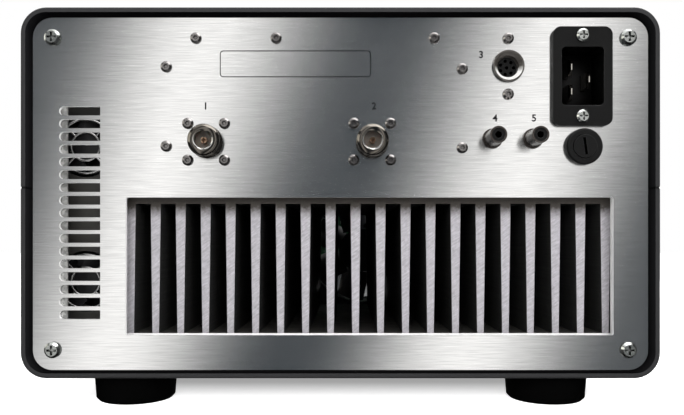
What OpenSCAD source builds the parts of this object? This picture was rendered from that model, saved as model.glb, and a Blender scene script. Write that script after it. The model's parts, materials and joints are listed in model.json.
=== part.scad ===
/* [Case] */
// Wall of the two case shells
case_wall = 2.5; // [2:0.1:3.5]
// Outer radius of the case's long edges
case_corner_r = 12.5; // [10:0.5:16]
// Height of the seam above the case's underside
seam_h = 93; // [85:1:100]
// Depth of the V groove along the seam
seam_groove = 0.8; // [0.4:0.1:1.2]
// Chamfer round the open rims
rim_chamfer = 0.8; // [0.3:0.1:1.2]
// Height of the radio deck, above the heatsink
deck_room = 82.5; // [78:0.5:95]
// Free width between the right duct wall and the case
right_room = 14.5; // [10:0.5:24]
// Free depth between the fan plate and the front panel
front_room = 121.5; // [100:0.5:160]

/* [Panels] */
// How far both panels sit inside the rims
panel_recess = 8; // [6:0.5:12]
// Thickness of the rear and front panels
panel_t = 2; // [1.5:0.1:3]
// Gap round the panels and the other fitted pieces
fit_gap = 0.25; // [0.15:0.05:0.4]
// Width of the ledge behind each panel
ledge_w = 5.5; // [5:0.5:7]
// Thickness of that ledge
ledge_t = 3; // [2:0.5:4]
// Inset of the corner screws from the outside of the case
corner_inset = 12.75; // [11:0.25:13]
// Diameter of the corner screw bosses
boss_d = 9; // [7:0.5:11]
// Length of the corner screw bosses
boss_len = 14; // [8:1:20]
// Head diameter of the corner screws
corner_head_d = 8; // [6:0.5:10]
// Head height of the corner screws
corner_head_h = 2.4; // [1.5:0.1:3]

/* [Feet] */
// Height of the feet
foot_h = 15; // [10:0.5:20]
// Diameter of a foot where it meets the case
foot_d = 42; // [30:1:50]
// Diameter of a foot at the ground
foot_tip_d = 40; // [30:1:48]
// Distance of the feet from the middle of the case
foot_x = 107.5; // [90:0.5:120]
// Distance of a foot's middle from the nearer rim
foot_inset = 28; // [24:1:40]

/* [Heatsink and duct] */
// Number of fins
fin_count = 20; // [16:1:22]
// Distance from fin to fin
fin_pitch = 12.73; // [11.5:0.01:13.5]
// Thickness of a fin at its root
fin_root_w = 5.1; // [4:0.1:6]
// Thickness of a fin at its tip
fin_tip_w = 3.3; // [2.5:0.1:4]
// Length of the fins
fin_len = 66; // [60:0.5:72]
// Thickness of the heatsink's base
heatsink_base_t = 10; // [8:0.5:14]
// Length of the heatsink from rear to front
heatsink_len = 165; // [140:1:190]
// Gap between the rear panel and the heatsink
heatsink_gap = 6; // [4:0.5:10]
// Thickness of folded sheet metal
sheet_t = 1.5; // [1:0.1:2]
// Height of the posts under the duct floor
standoff_h = 16; // [12:0.5:18]
// Diameter of those posts
standoff_d = 8; // [7:0.5:9]
// Height of the outlet's lower lip above the duct floor
outlet_lip = 0; // [0:0.25:3]
// How far the outlet reaches up past the fin roots
outlet_over = 2.75; // [1:0.25:5]
// Corner radius of the outlet
outlet_corner_r = 1; // [0.5:0.25:3]

/* [Fans] */
// Outer size of a duct fan
fan_size = 80; // [76:0.5:81]
// Thickness of a duct fan
fan_t = 25; // [20:0.5:30]
// Gap between neighbouring duct fans
fan_side_gap = 2; // [1:0.25:3]
// Gap between the heatsink and the duct fans
fan_gap = 1; // [0.5:0.25:4]
// Thickness of the small fans in the power supply
small_fan_t = 20; // [15:0.5:25]
// Distance between the small fans
small_fan_pitch = 70; // [60:0.5:74]
// Diameter of the fan shafts
fan_shaft_d = 3; // [2:0.1:4]
// Radial play of a shaft in its bearing
shaft_play = 0.05; // [0.02:0.01:0.09]
// Gap between blade tips and the fan's bore
blade_tip_gap = 1; // [0.5:0.1:1.5]
// Thickness of a fan blade
blade_t = 1.2; // [0.8:0.1:1.6]
// Wire of the fan guards
guard_wire_d = 1.2; // [0.8:0.1:1.6]

/* [Power supply] */
// Width of the power supply
psu_w = 38; // [36:0.5:42]
// Height of the power supply
psu_h = 112; // [106:0.5:120]
// Length of the power supply
psu_len = 200; // [160:1:230]
// Wall of the power supply's case
psu_wall = 1.2; // [0.8:0.1:1.6]
// Height of the ribs that carry the power supply
psu_rib_h = 22.5; // [18:0.5:26]
// Distance from the rear panel's face to the power supply
psu_setback = 15; // [12:0.5:20]
// Sheet of the power supply's bracket
bracket_t = 1.2; // [0.8:0.1:1.6]
// Width of the bracket's flange behind the slots
bracket_flange_w = 15.7; // [10:0.1:18]
// Gap between the bracket and the case
psu_side_gap = 1; // [0.6:0.1:3]
// Gap between the power supply and the duct
duct_side_gap = 2.3; // [2.1:0.1:5]

/* [Side slots] */
// Number of slots
slot_count = 17; // [10:1:17]
// Distance from slot to slot
slot_pitch = 6.35; // [5.5:0.05:6.6]
// Height of a slot
slot_h = 4.5; // [3:0.1:5]
// Length of a slot
slot_len = 20.5; // [16:0.5:24]
// Sideways shift of the slots from the power supply's middle
slot_shift = 2.3; // [0:0.1:4]

/* [Sockets] */
// Radio sockets: distance below the panel's top edge
socket_drop = 62.1; // [55:0.1:64]
// Antenna socket: place across the panel
antenna_x = -66.9; // [-72:0.1:-60]
// Transceiver socket: place across the panel
radio_x = 15.8; // [10:0.1:24]
// Diameter of the radio sockets' threaded barrel
barrel_d = 15.88; // [14:0.02:17]
// How far the barrels stand out of the panel
barrel_reach = 9; // [8:0.5:14]
// Bore of the barrels
barrel_bore_d = 10.4; // [9:0.1:11]
// Side of the radio sockets' square flange
flange_side = 25.4; // [24:0.1:26]
// Hole distance on that flange
flange_pitch = 18.26; // [17.5:0.01:19]
// Thickness of that flange
flange_t = 3; // [2:0.25:4]
// Accessory socket: place across the panel
accessory_x = 83.5; // [82:0.1:90]
// Accessory socket: distance below the panel's top edge
accessory_drop = 24.5; // [22:0.1:28]
// Diameter of the accessory socket's ring
accessory_ring_d = 15.5; // [14:0.1:17]
// Bore of the accessory socket's ring
accessory_bore_d = 10.4; // [9:0.1:12]
// Distance of the accessory socket's screws from its middle
accessory_screw_r = 13.9; // [12:0.1:15]
// Phono sockets: place of the left one across the panel
phono_x = 75.6; // [75:0.1:80]
// Distance between the phono sockets
phono_pitch = 20.1; // [16:0.1:24]
// Phono sockets: distance below the panel's top edge
phono_drop = 60.6; // [56:0.1:64]
// Outer diameter of a phono sleeve
phono_d = 8.2; // [7.8:0.1:8.6]
// How far the phono sockets stand out of the panel
phono_reach = 15; // [12:0.5:18]
// Head diameter of the small screws
small_head_d = 5.5; // [4.5:0.1:6]

/* [Mains inlet and fuse] */
// Mains inlet: place across the panel
inlet_x = 119.8; // [118:0.1:124]
// Mains inlet: distance below the panel's top edge
inlet_drop = 29.9; // [29:0.1:32]
// Width of the inlet's flange
inlet_w = 29.5; // [27:0.5:31]
// Height of the inlet's flange
inlet_h = 49; // [46:0.5:50]
// Thickness of the inlet's flange
inlet_t = 3; // [3:0.25:6]
// Distance of the inlet's screws from its middle
inlet_screw_r = 20; // [19:0.1:20.5]
// Width of the inlet's recess
recess_w = 20.8; // [19:0.1:22]
// Height of the inlet's recess
recess_h = 29; // [27:0.1:30]
// Depth of the inlet's recess
recess_d = 18; // [14:0.5:20]
// Fuse holder: place across the panel
fuse_x = 120.7; // [118:0.1:124]
// Fuse holder: distance below the panel's top edge
fuse_drop = 64.7; // [63:0.1:66]
// Diameter of the fuse holder's flange
fuse_flange_d = 18; // [15:0.25:18.5]
// Thickness of that flange
fuse_flange_t = 3.6; // [3:0.1:5]
// Diameter of the slotted fuse carrier
carrier_d = 11.4; // [10.5:0.1:12.5]
// Diameter of the fuse link
link_d = 6.3; // [5:0.1:6.5]
// Length of the fuse link
link_len = 32; // [20:0.5:33]

/* [Screening box] */
// Left side of the screening box
screen_x0 = -92; // [-96:0.5:-90]
// Right side of the screening box
screen_x1 = 67; // [66:0.5:68]
// Gap between the screening box and the ledge above it
screen_gap = 0.5; // [0.3:0.1:2]
// Height of the screening box
screen_h = 70.5; // [69:0.5:71.5]
// Depth of the screening box
screen_d = 45; // [40:0.5:60]
// Width of the box's screwed flanges
screen_flange_w = 11; // [10:0.25:12]

/* [Front controls] */
// Width of the meter window
window_w = 110; // [80:1:120]
// Height of the meter window
window_h = 40; // [30:1:44]
// Height of the window's middle above the panel's middle
window_rise = 25; // [22:1:32]
// Meter lights in a row
light_count = 12; // [8:1:14]
// Distance of the buttons and the switch below the panel's middle
control_drop = 32; // [30:0.5:34]
// Place of the first push button, to the left of the middle
button_x = 62; // [56:0.5:66]
// Distance between the push buttons
button_pitch = 26; // [22:0.5:30]
// Diameter of a push button
button_d = 9.5; // [8:0.1:12]
// How far a button stands out of the panel
button_reach = 4; // [3:0.25:5]
// Travel of a push button
button_travel = 2.5; // [1.5:0.1:2.5]
// Room between the display board and the power switch
switch_gap = 5.7; // [2:0.1:15]
// Width of the power rocker
rocker_w = 14; // [12:0.25:16]
// Tilt of the rocker either side of level
rocker_tilt = 8; // [5:0.5:9]

/* [Hidden] */
$fn = 48;
eps = 0.01;
flush = 1;

// The width, from the left wall to the right wall
fin_span = (fin_count - 1) * fin_pitch;
heatsink_w = fin_span + fin_root_w;
inner_w = psu_side_gap + bracket_t + psu_w + duct_side_gap + 2 * sheet_t + heatsink_w + right_room;
case_w = inner_w + 2 * case_wall;
left_in = -inner_w / 2;
psu_x0 = left_in + psu_side_gap + bracket_t;
psu_x1 = psu_x0 + psu_w;
psu_x = (psu_x0 + psu_x1) / 2;
duct_x0 = psu_x1 + duct_side_gap;
heatsink_x0 = duct_x0 + sheet_t;
heatsink_x1 = heatsink_x0 + heatsink_w;
heatsink_x = (heatsink_x0 + heatsink_x1) / 2;

// The height, from the ground to the top
case_z0 = foot_h;
floor_z = case_z0 + case_wall;
duct_floor_z = floor_z + standoff_h + sheet_t;
base_z = duct_floor_z + fin_len;
deck_z = base_z + heatsink_base_t;
ceiling_z = deck_z + deck_room;
inner_h = ceiling_z - floor_z;
case_h = inner_h + 2 * case_wall;
panel_z = (floor_z + ceiling_z) / 2;
seam_z = case_z0 + seam_h;
psu_z0 = floor_z + psu_rib_h;
psu_z = psu_z0 + psu_h / 2;

// The depth, from the rear rim to the front rim
overhang = max(0, phono_reach - panel_recess);
duct_len = heatsink_len + fan_gap + fan_t + sheet_t;
case_d = 2 * (panel_recess + panel_t) + heatsink_gap + duct_len + front_room;
rear_rim_y = -(case_d + overhang) / 2 + overhang;
rear_face_y = rear_rim_y + panel_recess;
rear_back_y = rear_face_y + panel_t;
heatsink_y0 = rear_back_y + heatsink_gap;
fan_y0 = heatsink_y0 + heatsink_len + fan_gap;
fan_y1 = fan_y0 + fan_t;
front_rim_y = rear_rim_y + case_d;
front_face_y = front_rim_y - panel_recess;
psu_y0 = rear_face_y + psu_setback;
psu_y1 = psu_y0 + psu_len;

// Screws and the holes that they pass
corner_shank_d = 4;
corner_shank_len = 12;
small_shank_d = 3;
small_shank_len = 8;
small_head_h = 1.6;
hole_gap = 0.15;
corner_hole_d = corner_shank_d + 2 * hole_gap;
small_hole_d = small_shank_d + 2 * hole_gap;
inner_r = case_corner_r - case_wall;
corner_x = case_w / 2 - corner_inset;
corner_dz = case_h / 2 - corner_inset;
corner_pad = corner_inset - case_wall + boss_d / 2;
foot_screw_d = 4;
foot_hole_d = foot_screw_d + 2 * hole_gap;
foot_head_d = 8;
foot_head_h = 3;
foot_bore_d = 11;
foot_web_t = 5;
foot_boss_d = 10;
foot_boss_h = 8;
foot_screw_len = foot_web_t + case_wall + foot_boss_h / 2;
side_screw_len = 8;
side_head_d = 7;
side_head_h = 1.8;
side_screw_z = base_z + heatsink_base_t / 2;
side_screw_ys = [for (k = [0.1, 0.5, 0.9]) heatsink_y0 + k * heatsink_len];
duct_gap_shift = fin_count % 2 == 0 ? 0 : fin_pitch / 2;
duct_screw_gaps = [-7, 7];
duct_screw_rear = 30;
duct_screw_front = 15;
duct_screw_ys = [heatsink_y0 + duct_screw_rear, heatsink_y0 + heatsink_len - duct_screw_front];
foot_ys = [rear_rim_y + foot_inset, front_rim_y - foot_inset];

// Fans
fan_pitch = fan_size + fan_side_gap;
fan_hub_d = 0.4 * fan_size;
fan_mount_t = 3;
fan_z = duct_floor_z + fan_size / 2;
fan_rim = 1.7;
hub_wall = 1.5;
post_wall = 2.5;
hub_cap = 2;
small_fan_size = psu_w - 2 * psu_wall - 2 * fit_gap;
small_fan_y = psu_y0 + psu_wall;
fan_seat_gap = 0.5;
guard_inner_r = 7.4;
guard_outer_r = 14;
guard_rings = [guard_inner_r, guard_outer_r];

// Radio sockets
barrel_edge = 0.8;
barrel_relief = 1;
insulator_recess = 7;
contact_recess = 2.5;
contact_d = 3.2;
contact_hole_d = 1.7;
tail_len = 6;
pot_len = 10;
socket_xs = [antenna_x, radio_x];
socket_z = ceiling_z - socket_drop;
accessory_z = ceiling_z - accessory_drop;
accessory_proud = 2;
accessory_recess = 5;
accessory_len = 13;
accessory_shell_len = panel_t + accessory_len + accessory_proud;
accessory_flange_w = 20;
accessory_flange_t = 1.5;
accessory_ear_r = 3.5;
accessory_mouth_d = accessory_bore_d + 0.4;
accessory_flare_d = accessory_ring_d - 1.4;
accessory_flare = 2;
pin_ring_r = 3.4;
pin_hole_d = 1.8;
phono_xs = [phono_x, phono_x + phono_pitch];
phono_z = ceiling_z - phono_drop;
phono_bore_d = 6.6;
phono_pin_d = 3.3;
phono_collar_d = 10;
phono_collar_t = 1.2;
phono_bush_d = 6.4;
phono_bush_bore_d = 4.4;
phono_bush_len = 6;
phono_nut_af = 9;
phono_nut_t = 2.2;

// Mains inlet and fuse
inlet_z = ceiling_z - inlet_drop;
inlet_corner_r = 4;
inlet_edge_r = 2;
inlet_body_wall = 2;
inlet_back_t = 5;
blade_w = 2;
blade_h = 8;
blade_front_gap = 7;
tab_w = 0.8;
tab_h = 6.3;
tab_len = 8;
line_blade_x = -3.3;
line_blade_z = 6.2;
earth_blade_x = 5.6;
blades = [[line_blade_x, line_blade_z], [line_blade_x, -line_blade_z], [earth_blade_x, 0]];
fuse_z = ceiling_z - fuse_drop;
fuse_barrel_d = carrier_d + 1.6;
fuse_bore_d = carrier_d - 1.2;
carrier_seat = 3.2;
carrier_proud = 0.6;
carrier_stem_len = 10;
carrier_slot_w = 1.4;
carrier_slot_turn = 8;
link_start = 1;
link_end_len = 6;
link_neck = 0.3;
fuse_end_t = 3;
fuse_barrel_len = link_start + link_len + fuse_end_t;
fuse_nut_af = 17;
fuse_nut_t = 4;

// Screening box and boards: places across the panel and below its top edge
screen_screws = [
    [-72, 10.5], [-32, 10.5], [46.6, 10.5],
    [-86.75, 24.75], [-86.75, 64.3],
    [60.65, 25.8], [60.65, 65.1]
];
screen_t = 1.2;
screen_z1 = ceiling_z - ledge_w - screen_gap;
screen_z0 = screen_z1 - screen_h;
screen_w = screen_x1 - screen_x0;
board_t = 1.6;
pa_board_w = 150;
pa_board_d = 92;
pa_board_inset = 14;
transistor_w = 34;
transistor_d = 10;
transistor_t = 1.6;
lid_w = 22;
lid_h = 3;
transistor_pitch = 70;
relay_w = 28;
relay_h = 25;
relay_d = 18;
filter_margin = 12;
control_w = 46;
control_d = 90;
control_inset = 50;
pillar_h = 6;
pillar_d = 6;
pillar_inset = 5;
chip_h = 2;

// Front controls
window_corner_r = 2;
window_lip = 3;
window_lip_t = 1.5;
display_w = 170;
display_h = 112;
display_drop = 6;
spacer_d = 6;
spacer_inset = 6;
light_w = 3;
light_h = 7;
light_d = 5;
light_pitch = 8;
light_row_dz = 9;
control_z = panel_z - control_drop;
button_xs = [-button_x, -button_x + button_pitch];
button_flange_lip = 1.5;
button_flange_d = button_d + 2 * button_flange_lip;
button_flange_t = 1.2;
button_flange_gap = 0.3;
button_stem_d = 4;
button_stop_gap = 1;
button_grip = 2;
button_stem_len = button_travel + button_stop_gap + button_grip;
switch_block = 10;
switch_block_h = 7;
switch_bore_len = button_grip + button_travel + button_stop_gap;
button_room = button_flange_gap + button_flange_t + button_travel + button_stop_gap;
board_setback = panel_t + button_room + switch_block_h;
rocker_h = 9.2;
rocker_pivot = 0.5;
rocker_edge = 4.5;
rocker_dip = 2.6;
rocker_back = 6;
rocker_back_edge = 4;
rocker_side_gap = 0.4;
rocker_room_h = 20.8;
rocker_room_d = 7;
axle_d = 3;
axle_len = 1.2;
bezel_t = 2.2;
bezel_lip = 2;
switch_wall = 1.9;
switch_body_d = 20;
switch_w = rocker_w + 2 * rocker_side_gap + 2 * switch_wall;
switch_h = rocker_room_h + 2 * switch_wall;
switch_x = display_w / 2 + switch_gap + switch_w / 2;
bezel_corner_r = 1.5;
intake_count = 12;
intake_pitch = 10;
intake_w = 4;
intake_len = 60;
intake_gap = 15;

// Local Z points out of the rear panel, X to the right, Y up
module on_rear(x, z, out = 0)
    translate([x, rear_face_y - out, z])
        rotate([90, 0, 0])
            children();

// Local Z points out of the front panel, X to the viewer's right, Y up
module on_front(x, z, out = 0)
    translate([-x, front_face_y + out, z])
        rotate([90, 0, 180])
            children();

// A rectangle round the origin with round corners
module rounded_rect(w, h, r) {
    square([w - 2 * r, h], center = true);
    square([w, h - 2 * r], center = true);
    for (sx = [-1, 1], sy = [-1, 1])
        translate([sx * (w / 2 - r), sy * (h / 2 - r)])
            circle(r);
}

module rounded_plate(w, h, r, t)
    linear_extrude(t)
        rounded_rect(w, h, r);

// A plain screw on its axis, head outwards, seated at height 0
module screw(head_d, head_h, shank_d, shank_len) {
    cylinder(d = head_d, h = head_h);
    translate([0, 0, -shank_len])
        cylinder(d = shank_d, h = shank_len + eps);
}

// Pan head with a cross recess
module cross_screw(head_d, head_h, shank_d, shank_len) {
    arm_w = head_d / 7;
    difference() {
        union() {
            screw(head_d, head_h / 2, shank_d, shank_len);
            translate([0, 0, head_h / 2])
                cylinder(d1 = head_d, d2 = 0.72 * head_d, h = head_h / 2);
        }
        for (turn = [0, 90])
            rotate(turn)
                translate([0, 0, head_h])
                    cube([0.6 * head_d, arm_w, head_h], center = true);
    }
}

// Button head with a hexagon socket
module socket_screw(head_d, head_h, shank_d, shank_len)
    difference() {
        union() {
            screw(head_d, head_h / 2, shank_d, shank_len);
            translate([0, 0, head_h / 2])
                cylinder(d1 = head_d, d2 = 0.66 * head_d, h = head_h / 2);
        }
        translate([0, 0, head_h / 2])
            cylinder(d = 0.42 * head_d, h = head_h, $fn = 6);
    }

module small_screw()
    socket_screw(small_head_d, small_head_h, small_shank_d, small_shank_len);

// Places of the four corner screws, round the panel's middle
module at_corners()
    for (sx = [-1, 1], sz = [-1, 1])
        translate([sx * corner_x, sz * corner_dz, 0])
            children();

// The ledge behind a panel, with a pad in each corner for the screw boss
module ledge_outline()
    difference() {
        rounded_rect(inner_w + 2 * eps, inner_h + 2 * eps, inner_r);
        difference() {
            rounded_rect(inner_w - 2 * ledge_w, inner_h - 2 * ledge_w, inner_r - ledge_w / 2);
            for (sx = [-1, 1], sz = [-1, 1])
                translate([sx * inner_w / 2, sz * inner_h / 2])
                    square(2 * corner_pad, center = true);
        }
    }

// A chamfer all the way round a rounded rectangle's outer edge, to be cut away at local Z = 0
module rim_cut(w, h, r, c) {
    for (s = [-1, 1]) {
        translate([0, s * h / 2, 0])
            rotate([45, 0, 0])
                cube([w - 2 * r, c * sqrt(2), c * sqrt(2)], center = true);
        translate([s * w / 2, 0, 0])
            rotate([0, 45, 0])
                cube([c * sqrt(2), h - 2 * r, c * sqrt(2)], center = true);
    }
    for (k = [0:3])
        translate([(k == 0 || k == 3 ? 1 : -1) * (w / 2 - r), (k < 2 ? 1 : -1) * (h / 2 - r), 0])
            rotate(90 * k)
                rotate_extrude(angle = 90)
                    translate([r, 0])
                        polygon([[-c, 0], [0, -c], [c, 0], [0, c]]);
}

// Both shells in one piece, before the seam parts them
module whole_case() {
    difference() {
        translate([0, rear_rim_y, panel_z])
            rotate([-90, 0, 0])
                linear_extrude(case_d)
                    difference() {
                        rounded_rect(case_w, case_h, case_corner_r);
                        rounded_rect(inner_w, inner_h, inner_r);
                    }
        for (y = [rear_rim_y, front_rim_y])
            translate([0, y, panel_z])
                rotate([-90, 0, 0])
                    rim_cut(case_w, case_h, case_corner_r, rim_chamfer);
    }
    on_rear(0, panel_z, -panel_t - ledge_t)
        corner_ledge();
    on_front(0, panel_z, -panel_t - ledge_t)
        corner_ledge();
}

module corner_ledge()
    difference() {
        union() {
            linear_extrude(ledge_t)
                ledge_outline();
            at_corners()
                translate([0, 0, -boss_len])
                    cylinder(d = boss_d, h = boss_len + eps);
        }
        at_corners()
            translate([0, 0, -boss_len - flush])
                cylinder(d = corner_hole_d, h = boss_len + ledge_t + 2 * flush);
    }

// Everything above the seam
module above_seam()
    translate([-case_w, rear_rim_y - flush, seam_z])
        cube([2 * case_w, case_d + 2 * flush, case_h]);

// The V groove that runs along both sides at the seam
module seam_grooves()
    for (s = [-1, 1])
        translate([s * case_w / 2, rear_rim_y + case_d / 2, seam_z])
            rotate([0, 45, 0])
                cube([seam_groove * sqrt(2), case_d + 2 * flush, seam_groove * sqrt(2)], center = true);

module upper_shell()
    color("#1b1b1c")
        difference() {
            intersection() {
                whole_case();
                above_seam();
            }
            seam_grooves();
        }

module lower_shell()
    color("#1b1b1c") {
        difference() {
            whole_case();
            above_seam();
            seam_grooves();
            at_feet(case_z0 - flush)
                cylinder(d = foot_hole_d, h = case_wall + 2 * flush);
            intake_slots();
        }
        at_feet(floor_z - eps)
            difference() {
                cylinder(d = foot_boss_d, h = foot_boss_h);
                translate([0, 0, -flush])
                    cylinder(d = foot_hole_d, h = foot_boss_h);
            }
        at_duct_screws(floor_z - eps)
            difference() {
                cylinder(d = standoff_d, h = standoff_h + eps);
                translate([0, 0, case_wall])
                    cylinder(d = small_hole_d, h = standoff_h);
            }
        psu_ribs();
    }

module at_feet(z)
    for (sx = [-1, 1], y = foot_ys)
        translate([sx * foot_x, y, z])
            children();

module at_duct_screws(z)
    for (k = duct_screw_gaps, y = duct_screw_ys)
        translate([heatsink_x + duct_gap_shift + k * fin_pitch, y, z])
            children();

module intake_slots()
    for (k = [0:intake_count - 1])
        translate([
            (k - (intake_count - 1) / 2) * intake_pitch,
            fan_y1 + sheet_t + intake_gap + intake_len / 2,
            case_z0 - flush
        ])
            rounded_plate(intake_w, intake_len, intake_w / 2 - eps, case_wall + 2 * flush);

// Two moulded ribs under the power supply
module psu_ribs() {
    rib_inset = 8;
    rib_t = 3;
    end_inset = 30;
    for (y = [psu_y0 + end_inset, psu_y1 - end_inset])
        translate([psu_x0 + rib_inset, y - rib_t / 2, floor_z - eps])
            cube([psu_w - rib_inset, rib_t, psu_rib_h + eps]);
}

// The outline that both panels share
module panel_plate()
    rounded_plate(inner_w - 2 * fit_gap, inner_h - 2 * fit_gap, inner_r - fit_gap, panel_t);

module panel_hole(x, z, d)
    translate([x, z - panel_z, -flush])
        cylinder(d = d, h = panel_t + 2 * flush);

module rear_panel()
    color("#b9bbbd")
        on_rear(0, panel_z, -panel_t)
            difference() {
                panel_plate();
                outlet_hole();
                side_slots();
                corner_holes();
                for (s = screen_screws)
                    panel_hole(s[0], ceiling_z - s[1], small_hole_d);
                for (x = socket_xs) {
                    panel_hole(x, socket_z, barrel_d + 2 * fit_gap);
                    for (dx = [-1, 1], dz = [-1, 1])
                        panel_hole(
                            x + dx * flange_pitch / 2,
                            socket_z + dz * flange_pitch / 2,
                            small_hole_d
                        );
                }
                panel_hole(accessory_x, accessory_z, accessory_ring_d + 2 * fit_gap);
                for (s = [-1, 1])
                    panel_hole(accessory_x, accessory_z + s * accessory_screw_r, small_hole_d);
                for (x = phono_xs)
                    panel_hole(x, phono_z, phono_bush_d + 2 * fit_gap);
                panel_hole(fuse_x, fuse_z, fuse_barrel_d + 2 * fit_gap);
                for (s = [-1, 1])
                    panel_hole(inlet_x, inlet_z + s * inlet_screw_r, small_hole_d);
                translate([inlet_x, inlet_z - panel_z, -flush])
                    rounded_plate(
                        recess_w + 2 * inlet_body_wall + 2 * fit_gap,
                        recess_h + 2 * inlet_body_wall + 2 * fit_gap,
                        inlet_edge_r,
                        panel_t + 2 * flush
                    );
            }

module corner_holes()
    at_corners()
        translate([0, 0, -flush])
            cylinder(d = corner_hole_d, h = panel_t + 2 * flush);

// The wide air outlet in front of the fins
module outlet_hole() {
    side_over = 1.2;
    x0 = heatsink_x0 + fin_root_w / 2;
    x1 = heatsink_x1 - fin_root_w / 2 + side_over;
    z0 = duct_floor_z + outlet_lip;
    z1 = base_z + outlet_over;
    translate([(x0 + x1) / 2, (z0 + z1) / 2 - panel_z, -flush])
        rounded_plate(x1 - x0, z1 - z0, outlet_corner_r, panel_t + 2 * flush);
}

// Slots with one round end and one square end, in front of the power supply's fans
module side_slots()
    for (k = [0:slot_count - 1])
        translate([
            psu_x + slot_shift - slot_len / 2,
            psu_z + (k - (slot_count - 1) / 2) * slot_pitch - panel_z,
            -flush
        ])
            linear_extrude(panel_t + 2 * flush) {
                translate([slot_h / 2, 0])
                    circle(d = slot_h);
                translate([slot_h / 2, -slot_h / 2])
                    square([slot_len - slot_h / 2, slot_h]);
            }

module front_panel()
    color("#b9bbbd") {
        on_front(0, panel_z, -panel_t)
            difference() {
                panel_plate();
                corner_holes();
                translate([0, window_rise, -flush])
                    rounded_plate(
                        window_w + 2 * fit_gap,
                        window_h + 2 * fit_gap,
                        window_corner_r,
                        panel_t + 2 * flush
                    );
                for (x = button_xs)
                    panel_hole(x, control_z, button_d + 2 * fit_gap);
                translate([switch_x, -control_drop, -flush])
                    linear_extrude(panel_t + 2 * flush)
                        square([switch_w + 2 * fit_gap, switch_h + 2 * fit_gap], center = true);
            }
        at_spacers()
            translate([0, 0, -board_setback])
                cylinder(d = spacer_d, h = board_setback - panel_t + eps);
    }

// Posts on the front panel that carry the display board
module at_spacers()
    for (sx = [-1, 1], sz = [-1, 1])
        on_front(
            sx * (display_w / 2 - spacer_inset),
            panel_z + display_drop + sz * (display_h / 2 - spacer_inset)
        )
            children();

module rear_panel_screws()
    color("#d4d6d8")
        on_rear(0, panel_z)
            at_corners()
                cross_screw(corner_head_d, corner_head_h, corner_shank_d, corner_shank_len);

module front_panel_screws()
    color("#d4d6d8")
        on_front(0, panel_z)
            at_corners()
                cross_screw(corner_head_d, corner_head_h, corner_shank_d, corner_shank_len);

// Rubber feet, each with a bore from below for its screw
module feet() {
    edge = 1.5;
    tip_r = foot_tip_d / 2;
    color("#151515")
        at_feet(0)
            rotate_extrude($fn = 72)
                polygon([
                    [foot_bore_d / 2, 0],
                    [tip_r - edge, 0],
                    [tip_r, edge],
                    [foot_d / 2, foot_h],
                    [foot_hole_d / 2, foot_h],
                    [foot_hole_d / 2, foot_h - foot_web_t],
                    [foot_bore_d / 2, foot_h - foot_web_t]
                ]);
}

module foot_screws()
    color("#9a9c9e")
        at_feet(foot_h - foot_web_t)
            mirror([0, 0, 1])
                cross_screw(foot_head_d, foot_head_h, foot_screw_d, foot_screw_len);

// Folded tray: the duct's floor with a wall on either side, bolted to the heatsink's edges
module chassis()
    color("#a5a8aa")
        difference() {
            translate([0, heatsink_y0 + duct_len, 0])
                rotate([90, 0, 0])
                    linear_extrude(duct_len)
                        polygon([
                            [duct_x0, duct_floor_z - sheet_t],
                            [heatsink_x1 + sheet_t, duct_floor_z - sheet_t],
                            [heatsink_x1 + sheet_t, deck_z],
                            [heatsink_x1, deck_z],
                            [heatsink_x1, duct_floor_z],
                            [heatsink_x0, duct_floor_z],
                            [heatsink_x0, deck_z],
                            [duct_x0, deck_z]
                        ]);
            at_duct_screws(duct_floor_z - sheet_t - flush)
                cylinder(d = small_hole_d, h = sheet_t + 2 * flush);
            at_side_screws(sheet_t + flush)
                cylinder(d = corner_hole_d, h = sheet_t + 2 * flush);
        }

// Places on the heatsink's two edges; local Z points out of the edge
module at_side_screws(below = 0)
    for (s = [-1, 1], y = side_screw_ys)
        translate([heatsink_x + s * (heatsink_w / 2 + sheet_t), y, side_screw_z])
            rotate([0, 90 * s, 0])
                translate([0, 0, -below])
                    children();

module chassis_screws()
    color("#9a9c9e")
        at_duct_screws(duct_floor_z)
            screw(small_head_d, small_head_h, small_shank_d, small_shank_len);

module heatsink_screws()
    color("#9a9c9e")
        at_side_screws()
            screw(side_head_d, side_head_h, corner_shank_d, side_screw_len);

// One tapered fin below the base, from its right root to its left root
function fin_outline(x) = [
    [x + fin_root_w / 2, 0],
    [x + fin_tip_w / 2, -fin_len],
    [x - fin_tip_w / 2, -fin_len],
    [x - fin_root_w / 2, 0]
];

// Extruded heatsink with tapered fins hanging from its base
module heatsink()
    color("#b4b3b8")
        difference() {
            translate([heatsink_x0, heatsink_y0 + heatsink_len, base_z])
                rotate([90, 0, 0])
                    linear_extrude(heatsink_len)
                        polygon([
                            [0, heatsink_base_t],
                            [heatsink_w, heatsink_base_t],
                            for (k = [fin_count - 1:-1:0]) each fin_outline(fin_root_w / 2 + k * fin_pitch)
                        ]);
            at_side_screws(side_screw_len + flush)
                cylinder(d = corner_hole_d, h = side_screw_len + 2 * flush);
        }

// Fan places, left to right as seen from behind; local Z points to the rear
module at_fan(k)
    translate([heatsink_x + k * fan_pitch, fan_y1, fan_z])
        rotate([90, 0, 0])
            children();

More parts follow.
